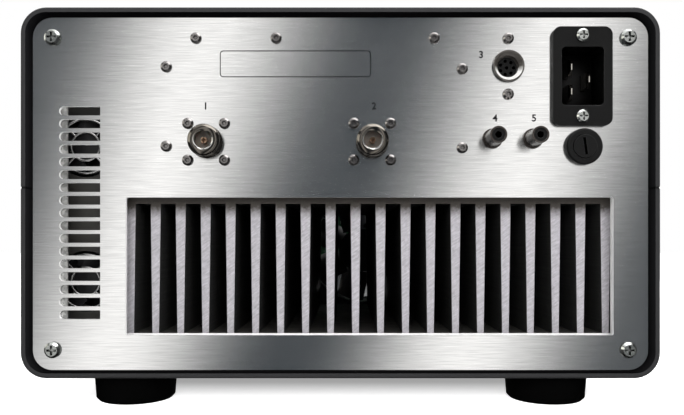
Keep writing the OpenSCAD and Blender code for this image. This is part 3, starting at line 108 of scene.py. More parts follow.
class Graph:
    """A node tree with short calls for the nodes that the finishes share."""

    bevel_samples = 6
    hollow_samples = 8
    hollow_range = (0.45, 0.95)
    colour_mix_inputs = (0, 6, 7)
    colour_mix_output = 2

    def __init__(self, name: str) -> None:
        """Makes a material that holds one Principled shader.

        Args:
            name: The material's name.
        """
        self.material = bpy.data.materials.new(name)
        self.material.use_nodes = True
        self.tree = self.material.node_tree
        self.tree.nodes.clear()
        self.shader = self.node("ShaderNodeBsdfPrincipled")
        self.output = self.node("ShaderNodeOutputMaterial")
        self.show(self.shader.outputs["BSDF"])

    def node(self, kind: str, **settings: Any) -> bpy.types.Node:
        """Adds a node.

        Args:
            kind: Blender's name for the node type.
            settings: Properties of the node itself.

        Returns:
            The new node.
        """
        made = self.tree.nodes.new(kind)
        for key, value in settings.items():
            setattr(made, key, value)
        return made

    def link(self, source: Socket, target: Socket) -> None:
        """Joins two sockets."""
        self.tree.links.new(source, target)

    def show(self, shader: Socket) -> None:
        """Makes a shader the material's surface."""
        self.link(shader, self.output.inputs["Surface"])

    def put(self, target: Socket, value: Value) -> None:
        """Sets a socket, by a link where the value is another socket.

        Args:
            target: The input socket.
            value: A number, a colour or an output socket.
        """
        if isinstance(value, bpy.types.NodeSocket):
            self.link(value, target)
        elif isinstance(value, tuple) and target.type == "RGBA":
            target.default_value = (*value, 1.0)
        else:
            target.default_value = value

    def set(self, **values: Value) -> None:
        """Sets inputs of the Principled shader, with _ for a space in a socket's name."""
        for key, value in values.items():
            self.put(self.shader.inputs[key.replace("_", " ")], value)

    def coords(self, size: Triple = (1, 1, 1), turn: Triple = (0, 0, 0)) -> Socket:
        """Object coordinates, turned and then counted in steps of a size.

        Args:
            size: Length that counts as 1, along the turned X, Y and Z.
            turn: Rotation about X, Y and Z in radians.

        Returns:
            The vector socket.
        """
        place = self.node("ShaderNodeTexCoord")
        mapping = self.node("ShaderNodeMapping", vector_type="TEXTURE")
        mapping.inputs["Scale"].default_value = size
        mapping.inputs["Rotation"].default_value = turn
        self.link(place.outputs["Object"], mapping.inputs["Vector"])
        return mapping.outputs["Vector"]

    def noise(self, vector: Socket, scale: float, detail: float = 2.0, rough: float = 0.5) -> Socket:
        """Noise between 0 and 1, mostly near 0.5.

        Args:
            vector: Where the noise is read.
            scale: Features per metre of that vector.
            detail: Octaves of finer noise.
            rough: Share of the finer octaves.

        Returns:
            The factor socket.
        """
        made = self.node("ShaderNodeTexNoise")
        self.link(vector, made.inputs["Vector"])
        made.inputs["Scale"].default_value = scale
        made.inputs["Detail"].default_value = detail
        made.inputs["Roughness"].default_value = rough
        return made.outputs["Fac"]

    def cells(
        self, vector: Socket, scale: float, output: str = "Color", metric: str = "EUCLIDEAN"
    ) -> Socket:
        """Voronoi cells.

        Args:
            vector: Where the cells are read.
            scale: Cells per metre.
            output: The node's output to use.
            metric: How distance is measured.

        Returns:
            The chosen socket.
        """
        made = self.node("ShaderNodeTexVoronoi", distance=metric)
        self.link(vector, made.inputs["Vector"])
        made.inputs["Scale"].default_value = scale
        return made.outputs[output]

    def math(self, kind: str, a: Value, b: Value = 0.0, clamp: bool = False) -> Socket:
        """Arithmetic on one or two values.

        Args:
            kind: Blender's name for the operation.
            a: First value.
            b: Second value.
            clamp: True to hold the result between 0 and 1.

        Returns:
            The value socket.
        """
        made = self.node("ShaderNodeMath", operation=kind, use_clamp=clamp)
        self.put(made.inputs[0], a)
        self.put(made.inputs[1], b)
        return made.outputs["Value"]

    def off(self, value: Socket, middle: float = 0.0) -> Socket:
        """How far a value lies from a middle, either way."""
        return self.math("ABSOLUTE", self.math("SUBTRACT", value, middle))

    def blend(self, first: Socket, second: Socket, share: float) -> Socket:
        """Two heights or noises added up, with a share for the first and the rest for the second."""
        rest = self.math("MULTIPLY", second, 1.0 - share)
        return self.math("ADD", self.math("MULTIPLY", first, share), rest)

    def span(self, value: Socket, low: float, high: float, start: float = 0.3, end: float = 0.7) -> Socket:
        """Carries a value from one range to another, held at the ends.

        Args:
            value: What is carried over.
            low: Result at the start of the range.
            high: Result at its end.
            start: Start of the range that is read.
            end: End of the range that is read.

        Returns:
            The value socket.
        """
        made = self.node("ShaderNodeMapRange")
        self.link(value, made.inputs["Value"])
        for name, number in (("From Min", start), ("From Max", end), ("To Min", low), ("To Max", high)):
            made.inputs[name].default_value = number
        return made.outputs["Result"]

    def mix(self, factor: Value, a: Value, b: Value) -> Socket:
        """Mixes two colours.

        Args:
            factor: Share of the second colour.
            a: First colour.
            b: Second colour.

        Returns:
            The colour socket.
        """
        made = self.node("ShaderNodeMix", data_type="RGBA")
        for place, value in zip(self.colour_mix_inputs, (factor, a, b)):
            self.put(made.inputs[place], value)
        return made.outputs[self.colour_mix_output]

    def split(self, vector: Socket, axis: str) -> Socket:
        """One component of a vector.

        Args:
            vector: The vector.
            axis: X, Y or Z.

        Returns:
            The value socket.
        """
        made = self.node("ShaderNodeSeparateXYZ")
        self.link(vector, made.inputs["Vector"])
        return made.outputs[axis]

    def facing(self, axis: str) -> Socket:
        """How far the surface faces along an axis of the object: X, Y or Z."""
        return self.split(self.node("ShaderNodeTexCoord").outputs["Normal"], axis)

    def outward(self) -> Socket:
        """How far the surface faces away from the case's long middle line.

        Returns:
            The dot product of its normal with its place across and above that line.
        """
        surface = self.node("ShaderNodeTexCoord")
        from_line = self.node("ShaderNodeMapping", vector_type="POINT")
        from_line.inputs["Location"].default_value = (0.0, 0.0, -CASE_MIDDLE_Z)
        from_line.inputs["Scale"].default_value = (1.0, 0.0, 1.0)
        self.link(surface.outputs["Object"], from_line.inputs["Vector"])
        dot = self.node("ShaderNodeVectorMath", operation="DOT_PRODUCT")
        self.link(from_line.outputs["Vector"], dot.inputs[0])
        self.link(surface.outputs["Normal"], dot.inputs[1])
        return dot.outputs["Value"]

    def diffuse(self, colour: Value) -> Socket:
        """A dull shader.

        Args:
            colour: Its colour.

        Returns:
            The shader socket.
        """
        made = self.node("ShaderNodeBsdfDiffuse")
        self.put(made.inputs["Color"], colour)
        return made.outputs["BSDF"]

    def emission(self, **values: Value) -> Socket:
        """A shader that glows.

        Args:
            values: Its Color, its Strength or both.

        Returns:
            The shader socket.
        """
        made = self.node("ShaderNodeEmission")
        for key, value in values.items():
            self.put(made.inputs[key], value)
        return made.outputs["Emission"]

    def overlay(self, share: Socket, shader: Socket) -> None:
        """Lays another shader over part of the Principled one.

        Args:
            share: How much of it shows.
            shader: The other shader.
        """
        both = self.node("ShaderNodeMixShader")
        for place, source in enumerate((share, self.shader.outputs["BSDF"], shader)):
            self.link(source, both.inputs[place])
        self.show(both.outputs["Shader"])

    def rounded(self, radius: float) -> Socket:
        """The surface normal, softened over edges.

        Args:
            radius: Radius of the softened edge.

        Returns:
            The normal socket.
        """
        made = self.node("ShaderNodeBevel", samples=self.bevel_samples)
        made.inputs["Radius"].default_value = radius
        return made.outputs["Normal"]

    def open(self, reach: float) -> Socket:
        """How open the surface is: 1 on a free face, less in a hollow.

        Args:
            reach: Distance within which other surfaces count.

        Returns:
            The factor socket.
        """
        made = self.node("ShaderNodeAmbientOcclusion", samples=self.hollow_samples, only_local=True)
        made.inputs["Distance"].default_value = reach
        return self.span(made.outputs["AO"], 0.0, 1.0, *self.hollow_range)

    def edges(self, radius: float, gain: float) -> Socket:
        """A mask of edges: how far the softened normal leans from the true one.

        Args:
            radius: Width of an edge.
            gain: Factor before the mask is held below 1.

        Returns:
            The mask socket, from 0 on a face to 1 on a sharp edge.
        """
        true = self.node("ShaderNodeNewGeometry")
        dot = self.node("ShaderNodeVectorMath", operation="DOT_PRODUCT")
        self.link(self.rounded(radius), dot.inputs[0])
        self.link(true.outputs["Normal"], dot.inputs[1])
        lean = self.math("SUBTRACT", 1.0, dot.outputs["Value"])
        return self.math("MULTIPLY", lean, gain, clamp=True)

    def bump(
        self, height: Socket, depth: float, strength: float = 1.0, normal: Optional[Socket] = None
    ) -> Socket:
        """A bumped normal.

        Args:
            height: Height between 0 and 1.
            depth: Distance that a height of 1 stands for.
            strength: Share of the bump that is used.
            normal: The normal to start from.

        Returns:
            The normal socket.
        """
        made = self.node("ShaderNodeBump")
        made.inputs["Strength"].default_value = strength
        made.inputs["Distance"].default_value = depth
        self.link(height, made.inputs["Height"])
        if normal is not None:
            self.link(normal, made.inputs["Normal"])
        return made.outputs["Normal"]


def shade(colour: Colour, factor: float) -> Colour:
    """A colour, lighter or darker by a factor."""
    return tuple(min(1.0, c * factor) for c in colour)


def shades(colour: Colour, factors: Pair) -> tuple[Colour, Colour]:
    """Two tones of a colour, by a factor each."""
    return shade(colour, factors[0]), shade(colour, factors[1])


@dataclass(frozen=True)
class Moulded:
    """Moulded plastic, rubber, ceramic or paint: a grained surface with paler edges, partly wear and partly
    a painted highlight.

    Where a hollow's reach is given, what lies that deep in the piece has painted shade, a dull black.
    Scales are features per metre, and tones are factors of the colour.
    """

    name: str
    colour: Colour
    rough: float = 0.45
    rough_play: float = 0.07
    gloss_scale: float = 180.0
    grain: float = 0.5 * MM
    grain_depth: float = 0.02 * MM
    grain_detail: float = 3.0
    mottle: float = 0.15
    mottle_scale: float = 60.0
    edge: float = 0.35 * MM
    scuff_highlight_colour: Colour = (0.07, 0.07, 0.072)
    edge_gain: float = 2.0
    scuff_highlight_share: Pair = (0.55, 1.0)
    specular: float = 0.5
    coat: float = 0.0
    glow: float = 0.0
    glow_depth: float = 0.5 * MM
    hollow: float = 0.0
    hollow_shade_tones: Pair = (0.2, 0.3)

    def trim(self, g: Graph, cloud: Socket, tone: Socket) -> Socket:
        """Finishes what differs from the open surface: here painted shade in the hollows.

        Args:
            g: The graph that takes the nodes.
            cloud: The noise that mottles the surface.
            tone: The colour of the open surface.

        Returns:
            The colour socket.
        """
        # Painted shade: a dull black overlaid where the occlusion mask finds a hollow.
        if self.hollow:
            dull = g.diffuse(g.mix(cloud, *shades(self.colour, self.hollow_shade_tones)))
            g.overlay(g.math("SUBTRACT", 1.0, g.open(self.hollow)), dull)
        return tone

    def material(self) -> bpy.types.Material:
        """Builds the finish.

        Returns:
            The new material.
        """
        g = Graph(self.name)
        place = g.coords()
        cloud = g.noise(place, self.mottle_scale, self.grain_detail)
        grain = g.noise(place, 1.0 / self.grain, self.grain_detail)
        gloss = g.noise(place, self.gloss_scale)
        tone = g.mix(cloud, *shades(self.colour, (1.0 - self.mottle, 1.0 + self.mottle)))
        # Paler edges: partly wear, partly a painted highlight laid on every edge by the bevel mask.
        scuff_and_highlight = g.math("MULTIPLY", g.edges(self.edge, self.edge_gain), g.span(cloud, *self.scuff_highlight_share))
        g.set(
            Base_Color=self.trim(g, cloud, g.mix(scuff_and_highlight, tone, self.scuff_highlight_colour)),
            Roughness=g.span(gloss, self.rough - self.rough_play, self.rough + self.rough_play),
            Normal=g.bump(grain, self.grain_depth, normal=g.rounded(self.edge)),
            Specular_IOR_Level=self.specular,
            Coat_Weight=self.coat,
        )
        if self.glow:
            g.set(Subsurface_Weight=self.glow, Subsurface_Scale=self.glow_depth)
        return g.material


@dataclass(frozen=True)
class Sleeve(Moulded):
    """The coat of the case: painted light on its ends along Y, a dark seam across them, and painted shade,
    a matt dark, on its inner walls.

    Upright inner walls near the open end of the case have painted light that grows from the panel's face
    outwards.
    """

    # Painted light: the paler colour of the ends that face along Y.
    painted_light_on_ends: Colour = (0.0245, 0.0245, 0.0255)
    end_facing: float = 0.7
    inward: float = -1.0 * MM
    seam_line: Pair = (0.2 * MM, 0.8 * MM)
    seam_tone: float = 0.1
    painted_wall_tones: Pair = (0.5, 2.3)
    painted_wall_light_start: float = 0.15

    def trim(self, g: Graph, cloud: Socket, tone: Socket) -> Socket:
        """Finishes what differs from the open surface: here painted light on the ends, the dark seam, and
        painted light and shade on the inner walls.

        Args:
            g: The graph that takes the nodes.
            cloud: The noise that mottles the surface; not used here.
            tone: The colour of the open surface.

        Returns:
            The colour socket.
        """
        # Painted light on the ends that face along Y; painted shade, a matt dark, on the inner walls, with
        # painted light on the upright ones growing towards the open end. The seam is a dark joint.
        place = g.coords()
        off_seam = g.span(g.off(g.split(place, "Z"), SEAM_Z), 0.0, 1.0, *self.seam_line)
        along = g.off(g.split(place, "Y"), CASE_MIDDLE_Y)
        near_rim = g.span(along, self.painted_wall_light_start, 1.0, CASE_HALF_D - PANEL_RECESS, CASE_HALF_D)
        upright = g.math("MULTIPLY", near_rim, g.off(g.facing("X")))
        pale = g.math("MULTIPLY", upright, off_seam)
        painted_wall_light_and_shade = g.diffuse(g.mix(pale, *shades(self.colour, self.painted_wall_tones)))
        g.overlay(g.math("LESS_THAN", g.outward(), self.inward), painted_wall_light_and_shade)
        end = g.math("GREATER_THAN", g.off(g.facing("Y")), self.end_facing)
        return g.mix(end, tone, g.mix(off_seam, shade(self.painted_light_on_ends, self.seam_tone), self.painted_light_on_ends))


@dataclass(frozen=True)
class Plated:
    """Plated or bare metal with a fine grain, faint tarnish, softened edges and painted shade in its
    hollows.

    Where a side colour is given, faces that look away from Y have it as painted shade, as on the sides of
    a screw head or the floor of a duct. Where a colour for the undersides is given, faces that don't look
    up have it as painted shade, as on the inside of a socket. Where a lip colour is given, the faces that
    the mesh marks as its lip have it as a painted highlight where they look up. Scales are features per
    metre, tones are factors of the colour, and ranges say how far a face looks along Y or Z where one
    colour ends and the other begins.
    """

    name: str
    colour: Colour
    rough: float = 0.22
    rough_play: Pair = (-0.06, 0.1)
    grain: Grain = Grain.SATIN
    grain_scale: float = 3000.0
    grain_depth: float = 0.004 * MM
    grain_strength: float = 0.6
    tarnish: Colour = (0.45, 0.42, 0.38)
    tarnish_share: float = 0.25
    tarnish_scale: float = 140.0
    tarnish_detail: float = 4.0
    tarnish_rough: float = 0.6
    edge: float = 0.15 * MM
    flake_scale: float = 600.0
    flake_share: Pair = (0.5, 1.0)
    flake_tone: float = 0.2
    ripple_scale: float = 300.0
    ripple_gain: float = 40.0
    turned_pitch: float = 0.25 * MM
    turned_gain: float = 0.5
    metal: float = 1.0
    painted_cavity_shade: float = 0.0
    painted_cavity_shade_tone: float = 0.08
    side: Optional[Colour] = None
    painted_side_shade_range: Pair = (0.35, 0.7)
    painted_under_shade: Optional[Colour] = None
    painted_under_shade_range: Pair = (0.0, 0.35)
    lip: Optional[Colour] = None
    painted_lip_highlight_range: Pair = (-0.2, 0.2)

    def figure(self, g: Graph, cloud: Socket, tone: Socket) -> tuple[Socket, Socket]:
        """The grain: satin noise, with the flakes of zinc or the rings of a lathe added.

        Args:
            g: The graph that takes the nodes.
            cloud: The noise of the tarnish.
            tone: The colour of the tarnished metal.

        Returns:
            The colour and the height of the grain.
        """
        place = g.coords()
        height = g.noise(place, self.grain_scale)
        if self.grain is Grain.SPANGLE:
            cell = g.split(g.cells(place, self.flake_scale), "X")
            flake = g.math("MULTIPLY", cell, g.span(cloud, *self.flake_share))
            tone = g.mix(flake, tone, shade(self.colour, self.flake_tone))
            ripple = g.noise(place, self.ripple_scale, detail=1.0)
            height = g.math("ADD", height, g.math("MULTIPLY", ripple, self.ripple_gain))
        if self.grain is Grain.TURNED:
            turn = g.math("MULTIPLY", g.split(place, "Y"), 2.0 * math.pi / self.turned_pitch)
            height = g.math("ADD", height, g.math("MULTIPLY", g.math("SINE", turn), self.turned_gain))
        return tone, height

    def faces(self, g: Graph, tone: Socket) -> Socket:
        """Paints shade on the sides, the undersides and the hollows, and a highlight on the lip, where
        these are given.

        Args:
            g: The graph that takes the nodes.
            tone: The colour of the open surface.

        Returns:
            The colour socket.
        """
        # Painted shade on faces that look away from Y.
        if self.side:
            tone = g.mix(g.span(g.off(g.facing("Y")), 0.0, 1.0, *self.painted_side_shade_range), self.side, tone)
        # Painted shade on faces that don't look up.
        if self.painted_under_shade:
            tone = g.mix(g.span(g.facing("Z"), 0.0, 1.0, *self.painted_under_shade_range), self.painted_under_shade, tone)
        # Painted highlight on the marked lip where it looks up.
        if self.lip:
            marked = g.node("ShaderNodeAttribute", attribute_name=LIP_MARK).outputs["Fac"]
            lit = g.math("MULTIPLY", marked, g.span(g.facing("Z"), 0.0, 1.0, *self.painted_lip_highlight_range))
            tone = g.mix(lit, tone, self.lip)
        # Painted shade in hollows, from the occlusion mask.
        if self.painted_cavity_shade:
            tone = g.mix(g.open(self.painted_cavity_shade), shade(self.colour, self.painted_cavity_shade_tone), tone)
        return tone

    def material(self) -> bpy.types.Material:
        """Builds the finish.

        Returns:
            The new material.
        """
        g = Graph(self.name)
        cloud = g.noise(g.coords(), self.tarnish_scale, self.tarnish_detail, self.tarnish_rough)
        tint = g.math("MULTIPLY", g.span(cloud, 0.0, 1.0), self.tarnish_share)
        tone, height = self.figure(g, cloud, g.mix(tint, self.colour, self.tarnish))
        smoothest, roughest = (self.rough + play for play in self.rough_play)
        g.set(
            Base_Color=self.faces(g, tone),
            Metallic=self.metal,
            Roughness=g.span(cloud, smoothest, roughest),
            Normal=g.bump(height, self.grain_depth, self.grain_strength, g.rounded(self.edge)),
        )
        return g.material


@dataclass(frozen=True)
class Brushed:
    """Sheet metal brushed along X: fine streaks, highlights drawn out across them, pale cut edges.

    Coarse streaks are a few times longer and taller than the fine ones. Tones are factors of the
    colour.
    """

    name: str
    colour: Colour
    rough: float = 0.18
    rough_play: float = 0.03
    scatter: float = 0.04
    anisotropy: float = 0.8
    lean: float = math.radians(16.5)
    streak_len: float = 12.0 * MM
    streak_h: float = 0.3 * MM
    streak_detail: float = 1.5
    streak_range: Pair = (0.2, 0.8)
    streak_tones: Pair = (0.74, 1.03)
    streak_depth: float = 0.001 * MM
    streak_strength: float = 0.5
    coarse_len: float = 2.5
    coarse_h: float = 1.7
    fine_share: float = 0.65
    face_from: float = 0.5
    cut_tone: float = 1.05

    def material(self) -> bpy.types.Material:
        """Builds the finish.

        Returns:
            The new material.
        """
        g = Graph(self.name)
        fine = g.noise(g.coords((self.streak_len, 1.0, self.streak_h)), 1.0, self.streak_detail)
        long, tall = self.coarse_len * self.streak_len, self.coarse_h * self.streak_h
        streak = g.blend(fine, g.noise(g.coords((long, 1.0, tall)), 1.0), self.fine_share)
        face = g.math("GREATER_THAN", g.off(g.facing("Y")), self.face_from)
        stroke = g.span(streak, 0.0, 1.0, *self.streak_range)
        brushed = g.mix(stroke, *shades(self.colour, self.streak_tones))
        across = g.node("ShaderNodeCombineXYZ")
        across.inputs["X"].default_value = math.sin(self.lean)
        across.inputs["Z"].default_value = math.cos(self.lean)
        g.link(across.outputs["Vector"], g.shader.inputs["Tangent"])
        g.set(
            Base_Color=g.mix(face, shade(self.colour, self.cut_tone), brushed),
            Metallic=g.math("MULTIPLY", face, g.span(fine, 1.0, 1.0 - self.scatter)),
            Roughness=g.span(fine, self.rough + self.rough_play, self.rough - self.rough_play),
            Anisotropic=self.anisotropy,
            Normal=g.bump(streak, self.streak_depth, self.streak_strength),
        )
        return g.material


@dataclass(frozen=True)
class SawCut:
    """A dark extrusion whose ends, which face along Y, are saw-cut to bare metal, with a painted shadow at
    the root.

    The painted shadow fades out below the root's height, along a line that wanders up and down.
    """

    name: str
    bare: Colour
    dark: Colour = (0.03, 0.03, 0.029)
    end_facing: float = 0.9
    saw_pitch: float = 0.7 * MM
    saw_len: float = 5.0 * MM
    saw_lean: float = math.radians(-35.0)
    saw_detail: float = 3.0
    saw_rough: float = 0.65
    saw_share: float = 0.7
    saw_tones: Pair = (0.62, 1.18)
    saw_depth: float = 0.03 * MM
    saw_strength: float = 0.5
    pit_scale: float = 700.0
    root_z: float = 99.6 * MM
    root_wander: float = 1.0 * MM
    fade: float = 6.0 * MM
    # Colour of the painted shadow at the fin roots.
    root: Colour = (0.07, 0.062, 0.055)
    metal: float = 0.6
    rough: Pair = (0.42, 0.58)

    def material(self) -> bpy.types.Material:
        """Builds the finish.

        Returns:
            The new material.
        """
        g = Graph(self.name)
        place = g.coords()
        cut = g.math("GREATER_THAN", g.off(g.facing("Y")), self.end_facing)
        lines = g.coords((self.saw_len, 1.0, self.saw_pitch), (0.0, self.saw_lean, 0.0))
        cloud = g.noise(place, self.pit_scale, self.saw_detail)
        saw = g.blend(g.noise(lines, 1.0, self.saw_detail, self.saw_rough), cloud, self.saw_share)
        bright = g.mix(g.span(saw, 0.0, 1.0), *shades(self.bare, self.saw_tones))
        # Painted shadow: the bare ends darken by height towards the fin roots.
        wander = g.span(cloud, -self.root_wander, self.root_wander)
        level = g.math("ADD", g.split(place, "Z"), wander)
        painted_root_shadow = g.span(level, 0.0, 1.0, self.root_z - self.fade, self.root_z)
        g.set(
            Base_Color=g.mix(cut, self.dark, g.mix(painted_root_shadow, bright, self.root)),
            Metallic=g.math("MULTIPLY", cut, self.metal),
            Roughness=g.span(saw, *self.rough),
            Normal=g.bump(saw, self.saw_depth, self.saw_strength),
        )
        return g.material


@dataclass(frozen=True)
class Board:
    """A printed circuit board: solder resist over copper runs, with tinned pads.

    Runs are the outer parts of square cells and pads the middles of round ones.
    """

    name: str
    colour: Colour
    run: float = 2.2 * MM
    run_from: float = 0.36
    run_share: float = 0.5
    run_tone: float = 2.2
    pad: float = 5.0 * MM
    pad_to: float = 0.16
    pad_colour: Colour = (0.6, 0.6, 0.58)
    relief: float = 0.05 * MM
    relief_strength: float = 0.6
    gloss_scale: float = 300.0
    rough: Pair = (0.3, 0.5)
    coat: float = 0.3

    def material(self) -> bpy.types.Material:
        """Builds the finish.

        Returns:
            The new material.
        """
        g = Graph(self.name)
        place = g.coords()
        squares = g.cells(place, 0.5 / self.run, "Distance", "CHEBYCHEV")
        run = g.math("GREATER_THAN", squares, self.run_from)
        pad = g.math("LESS_THAN", g.cells(place, 1.0 / self.pad, "Distance"), self.pad_to)
        over_run = g.math("MULTIPLY", run, self.run_share)
        resist = g.mix(over_run, self.colour, shade(self.colour, self.run_tone))
        g.set(
            Base_Color=g.mix(pad, resist, self.pad_colour),
            Metallic=pad,
            Roughness=g.span(g.noise(place, self.gloss_scale), *self.rough),
            Normal=g.bump(g.math("ADD", run, pad), self.relief, self.relief_strength),
            Coat_Weight=self.coat,
        )
        return g.material


@dataclass(frozen=True)
class Smoked:
    """Smoked clear plastic with faint wipe marks."""

    name: str
    colour: Colour
    rough: float = 0.05
    rough_play: float = 0.07
    wipe_size: Triple = (30.0 * MM, 1.0, 8.0 * MM)
    wipe_turn: Triple = (0.0, 0.5, 0.0)
    wipe_detail: float = 3.0
    wipe_tones: Pair = (0.8, 1.2)
    clear: float = 0.7
    ior: float = 1.49
    edge: float = 0.4 * MM

    def material(self) -> bpy.types.Material:
        """Builds the finish.

        Returns:
            The new material.
        """
        g = Graph(self.name)
        wipe = g.noise(g.coords(self.wipe_size, self.wipe_turn), 1.0, self.wipe_detail)
        g.set(
            Base_Color=g.mix(wipe, *shades(self.colour, self.wipe_tones)),
            Roughness=g.span(wipe, self.rough, self.rough + self.rough_play),
            Transmission_Weight=self.clear,
            IOR=self.ior,
            Normal=g.rounded(self.edge),
        )
        return g.material


# Finish of each material slot in the record
FINISHES: dict[str, Finish] = {
    # Painted light on the ends and painted shade on the inner walls of the case.
    "case_black": Sleeve(
        "fine_black_coat", (0.006, 0.006, 0.0065), rough=0.5, grain=0.35 * MM, grain_depth=0.03 * MM,
        mottle=0.2, edge=0.5 * MM, scuff_highlight_colour=(0.03, 0.03, 0.031), specular=0.08,
    ),
    "brushed_panel": Brushed("brushed_sheet", (0.94, 0.94, 0.935)),
    # Painted shade on the sides of the heads and in their recesses.
    "bright_screw": Plated(
        "bright_zinc", (0.6, 0.61, 0.6), rough=0.2, tarnish=(0.35, 0.4, 0.34), tarnish_share=0.35,
        painted_cavity_shade=1.2 * MM, side=(0.09, 0.105, 0.095),
    ),
    # Painted shade in the recesses of the heads.
    "small_screw": Plated(
        "plain_steel", (0.31, 0.295, 0.29), rough=0.24, tarnish=(0.16, 0.15, 0.145), tarnish_share=0.5,
        painted_cavity_shade=0.8 * MM,
    ),
    "foot_rubber": Moulded(
        "foot_rubber", (0.0012, 0.0012, 0.0012), rough=0.8, grain=0.8 * MM, grain_depth=0.03 * MM,
        mottle=0.25, edge=0.5 * MM, scuff_highlight_colour=(0.004, 0.004, 0.004), specular=0.02,
    ),
    "plated_sheet": Plated(
        "zinc_sheet", (0.85, 0.85, 0.84), rough=0.3, grain=Grain.SPANGLE, tarnish=(0.6, 0.58, 0.52),
        tarnish_share=0.3, metal=0.55,
    ),
    "heatsink_aluminium": SawCut("saw_cut_extrusion", (0.56, 0.54, 0.575)),
    "fan_black": Moulded(
        "fan_moulding", (0.01, 0.01, 0.011), rough=0.4, grain=0.6 * MM, grain_depth=0.01 * MM,
        edge=0.3 * MM,
    ),
    "psu_grey": Moulded(
        "dark_grey_sheet", (0.034, 0.0325, 0.0295), rough=0.5, grain=0.4 * MM, grain_depth=0.04 * MM,
        mottle=0.35, edge=0.3 * MM,
    ),
    "guard_wire": Plated("bright_wire", (0.82, 0.82, 0.82), rough=0.16),
    # Painted highlight on the mouth's lip where it looks up.
    "socket_nickel": Plated(
        "nickel_plate", (0.19, 0.175, 0.155), rough=0.13, grain=Grain.TURNED,
        tarnish=(0.08, 0.066, 0.053), tarnish_share=0.45, lip=(0.85, 0.83, 0.8),
    ),
    "socket_ptfe": Moulded(
        "waxy_insulator", (0.14, 0.12, 0.1), rough=0.42, grain=0.6 * MM, grain_depth=0.01 * MM,
        edge=0.2 * MM, scuff_highlight_colour=(0.14, 0.125, 0.105), edge_gain=1.0, glow=0.25,
    ),
    "contact_gold": Plated(
        "gold_plate", (0.4, 0.27, 0.19), rough=0.2, grain=Grain.TURNED, tarnish=(0.25, 0.15, 0.09),
        tarnish_share=0.4,
    ),
    # Painted shade, a dull black, in hollows within the given reach.
    "black_moulding": Moulded(
        "satin_black", (0.0035, 0.0035, 0.0035), rough=0.42, grain=0.9 * MM, grain_depth=0.06 * MM,
        mottle=0.3, edge=0.45 * MM, scuff_highlight_colour=(0.05, 0.05, 0.05), specular=0.2, hollow=12.0 * MM,
    ),
    "blade_metal": Plated(
        "plated_brass", (0.62, 0.6, 0.56), rough=0.16, tarnish=(0.4, 0.34, 0.26), tarnish_share=0.3
    ),
    "fuse_ceramic": Moulded(
        "fuse_ceramic", (0.75, 0.73, 0.66), rough=0.35, grain_depth=0.01 * MM, mottle=0.08,
        edge=0.2 * MM, scuff_highlight_colour=(0.8, 0.78, 0.72), edge_gain=1.0,
    ),
    "board_green": Board("solder_resist", (0.02, 0.11, 0.045)),
    "device_ceramic": Moulded(
        "device_lid", (0.68, 0.6, 0.38), rough=0.35, grain=0.4 * MM, grain_depth=0.01 * MM, mottle=0.1,
        edge=0.2 * MM, scuff_highlight_colour=(0.8, 0.74, 0.55), edge_gain=1.0,
    ),
    "relay_blue": Moulded(
        "relay_cover", (0.05, 0.1, 0.28), rough=0.3, grain=0.8 * MM, grain_depth=0.01 * MM, mottle=0.1,
        edge=0.4 * MM, scuff_highlight_colour=(0.16, 0.24, 0.45), edge_gain=1.0, coat=0.3,
    ),
    "window_dark": Smoked("smoked_window", (0.06, 0.065, 0.07)),
    "light_red": Moulded(
        "diffused_red", (0.45, 0.05, 0.03), rough=0.4, edge=0.3 * MM, scuff_highlight_colour=(0.6, 0.2, 0.15),
        edge_gain=1.0, glow=0.4,
    ),
}

# Finish of the nodes that differ from the others of their slot
NODE_FINISHES: dict[str, Finish] = {
    # Painted shade on faces that don't look up.
    "accessory_socket_shell": Plated(
        "satin_nickel", (0.88, 0.87, 0.85), rough=0.3, tarnish=(0.6, 0.58, 0.55), tarnish_share=0.2,
        metal=0.2, painted_under_shade=(0.05, 0.045, 0.04),
    ),
    # Painted shade on faces that don't look up.
    "phono_bodies": Plated(
        "dull_nickel", (0.8, 0.78, 0.75), rough=0.25, grain=Grain.TURNED, tarnish=(0.3, 0.27, 0.24),
        tarnish_share=0.3, metal=0.6, painted_under_shade=(0.045, 0.038, 0.034),
    ),
    # Pale where faces look along Y, with painted shade, a near black, on every other face so the duct floor
    # stays dark.
    "chassis": Plated(
        "sheet_with_painted_shade", (0.97, 0.97, 0.96), rough=0.4, tarnish=(0.9, 0.89, 0.87), tarnish_share=0.3,
        metal=0.1, side=(0.045, 0.043, 0.04),
    ),
    "psu_bracket": Plated(
        "dull_zinc", (0.62, 0.62, 0.61), rough=0.3, grain=Grain.SPANGLE, tarnish=(0.16, 0.155, 0.14),
        tarnish_share=0.9, metal=0.7,
    ),
}

BLACK_INK = Moulded(
    "black_ink", (0.008, 0.008, 0.009), rough=0.5, grain=0.2 * MM, grain_depth=0.004 * MM, mottle=0.3,
    edge=0.02 * MM, scuff_highlight_colour=(0.01, 0.01, 0.01), specular=0.05,
)


def mesh_piece(name: str, points: np.ndarray, faces: np.ndarray, smooth: bool = True) -> bpy.types.Object:
    """Makes an object at the origin from whole arrays of points and faces.

    Args:
        name: The piece's name.
        points: Array of N points, each of 3 numbers.
        faces: Array of M faces, each of 3 or 4 indices.
        smooth: True for smooth shading.

    Returns:
        The new object.
    """
    mesh = bpy.data.meshes.new(name)
    mesh.from_pydata(points.tolist(), [], faces.tolist())
    mesh.polygons.foreach_set("use_smooth", np.full(len(faces), smooth))
    mesh.update()
    piece = bpy.data.objects.new(name, mesh)
    bpy.context.scene.collection.objects.link(piece)
    return piece


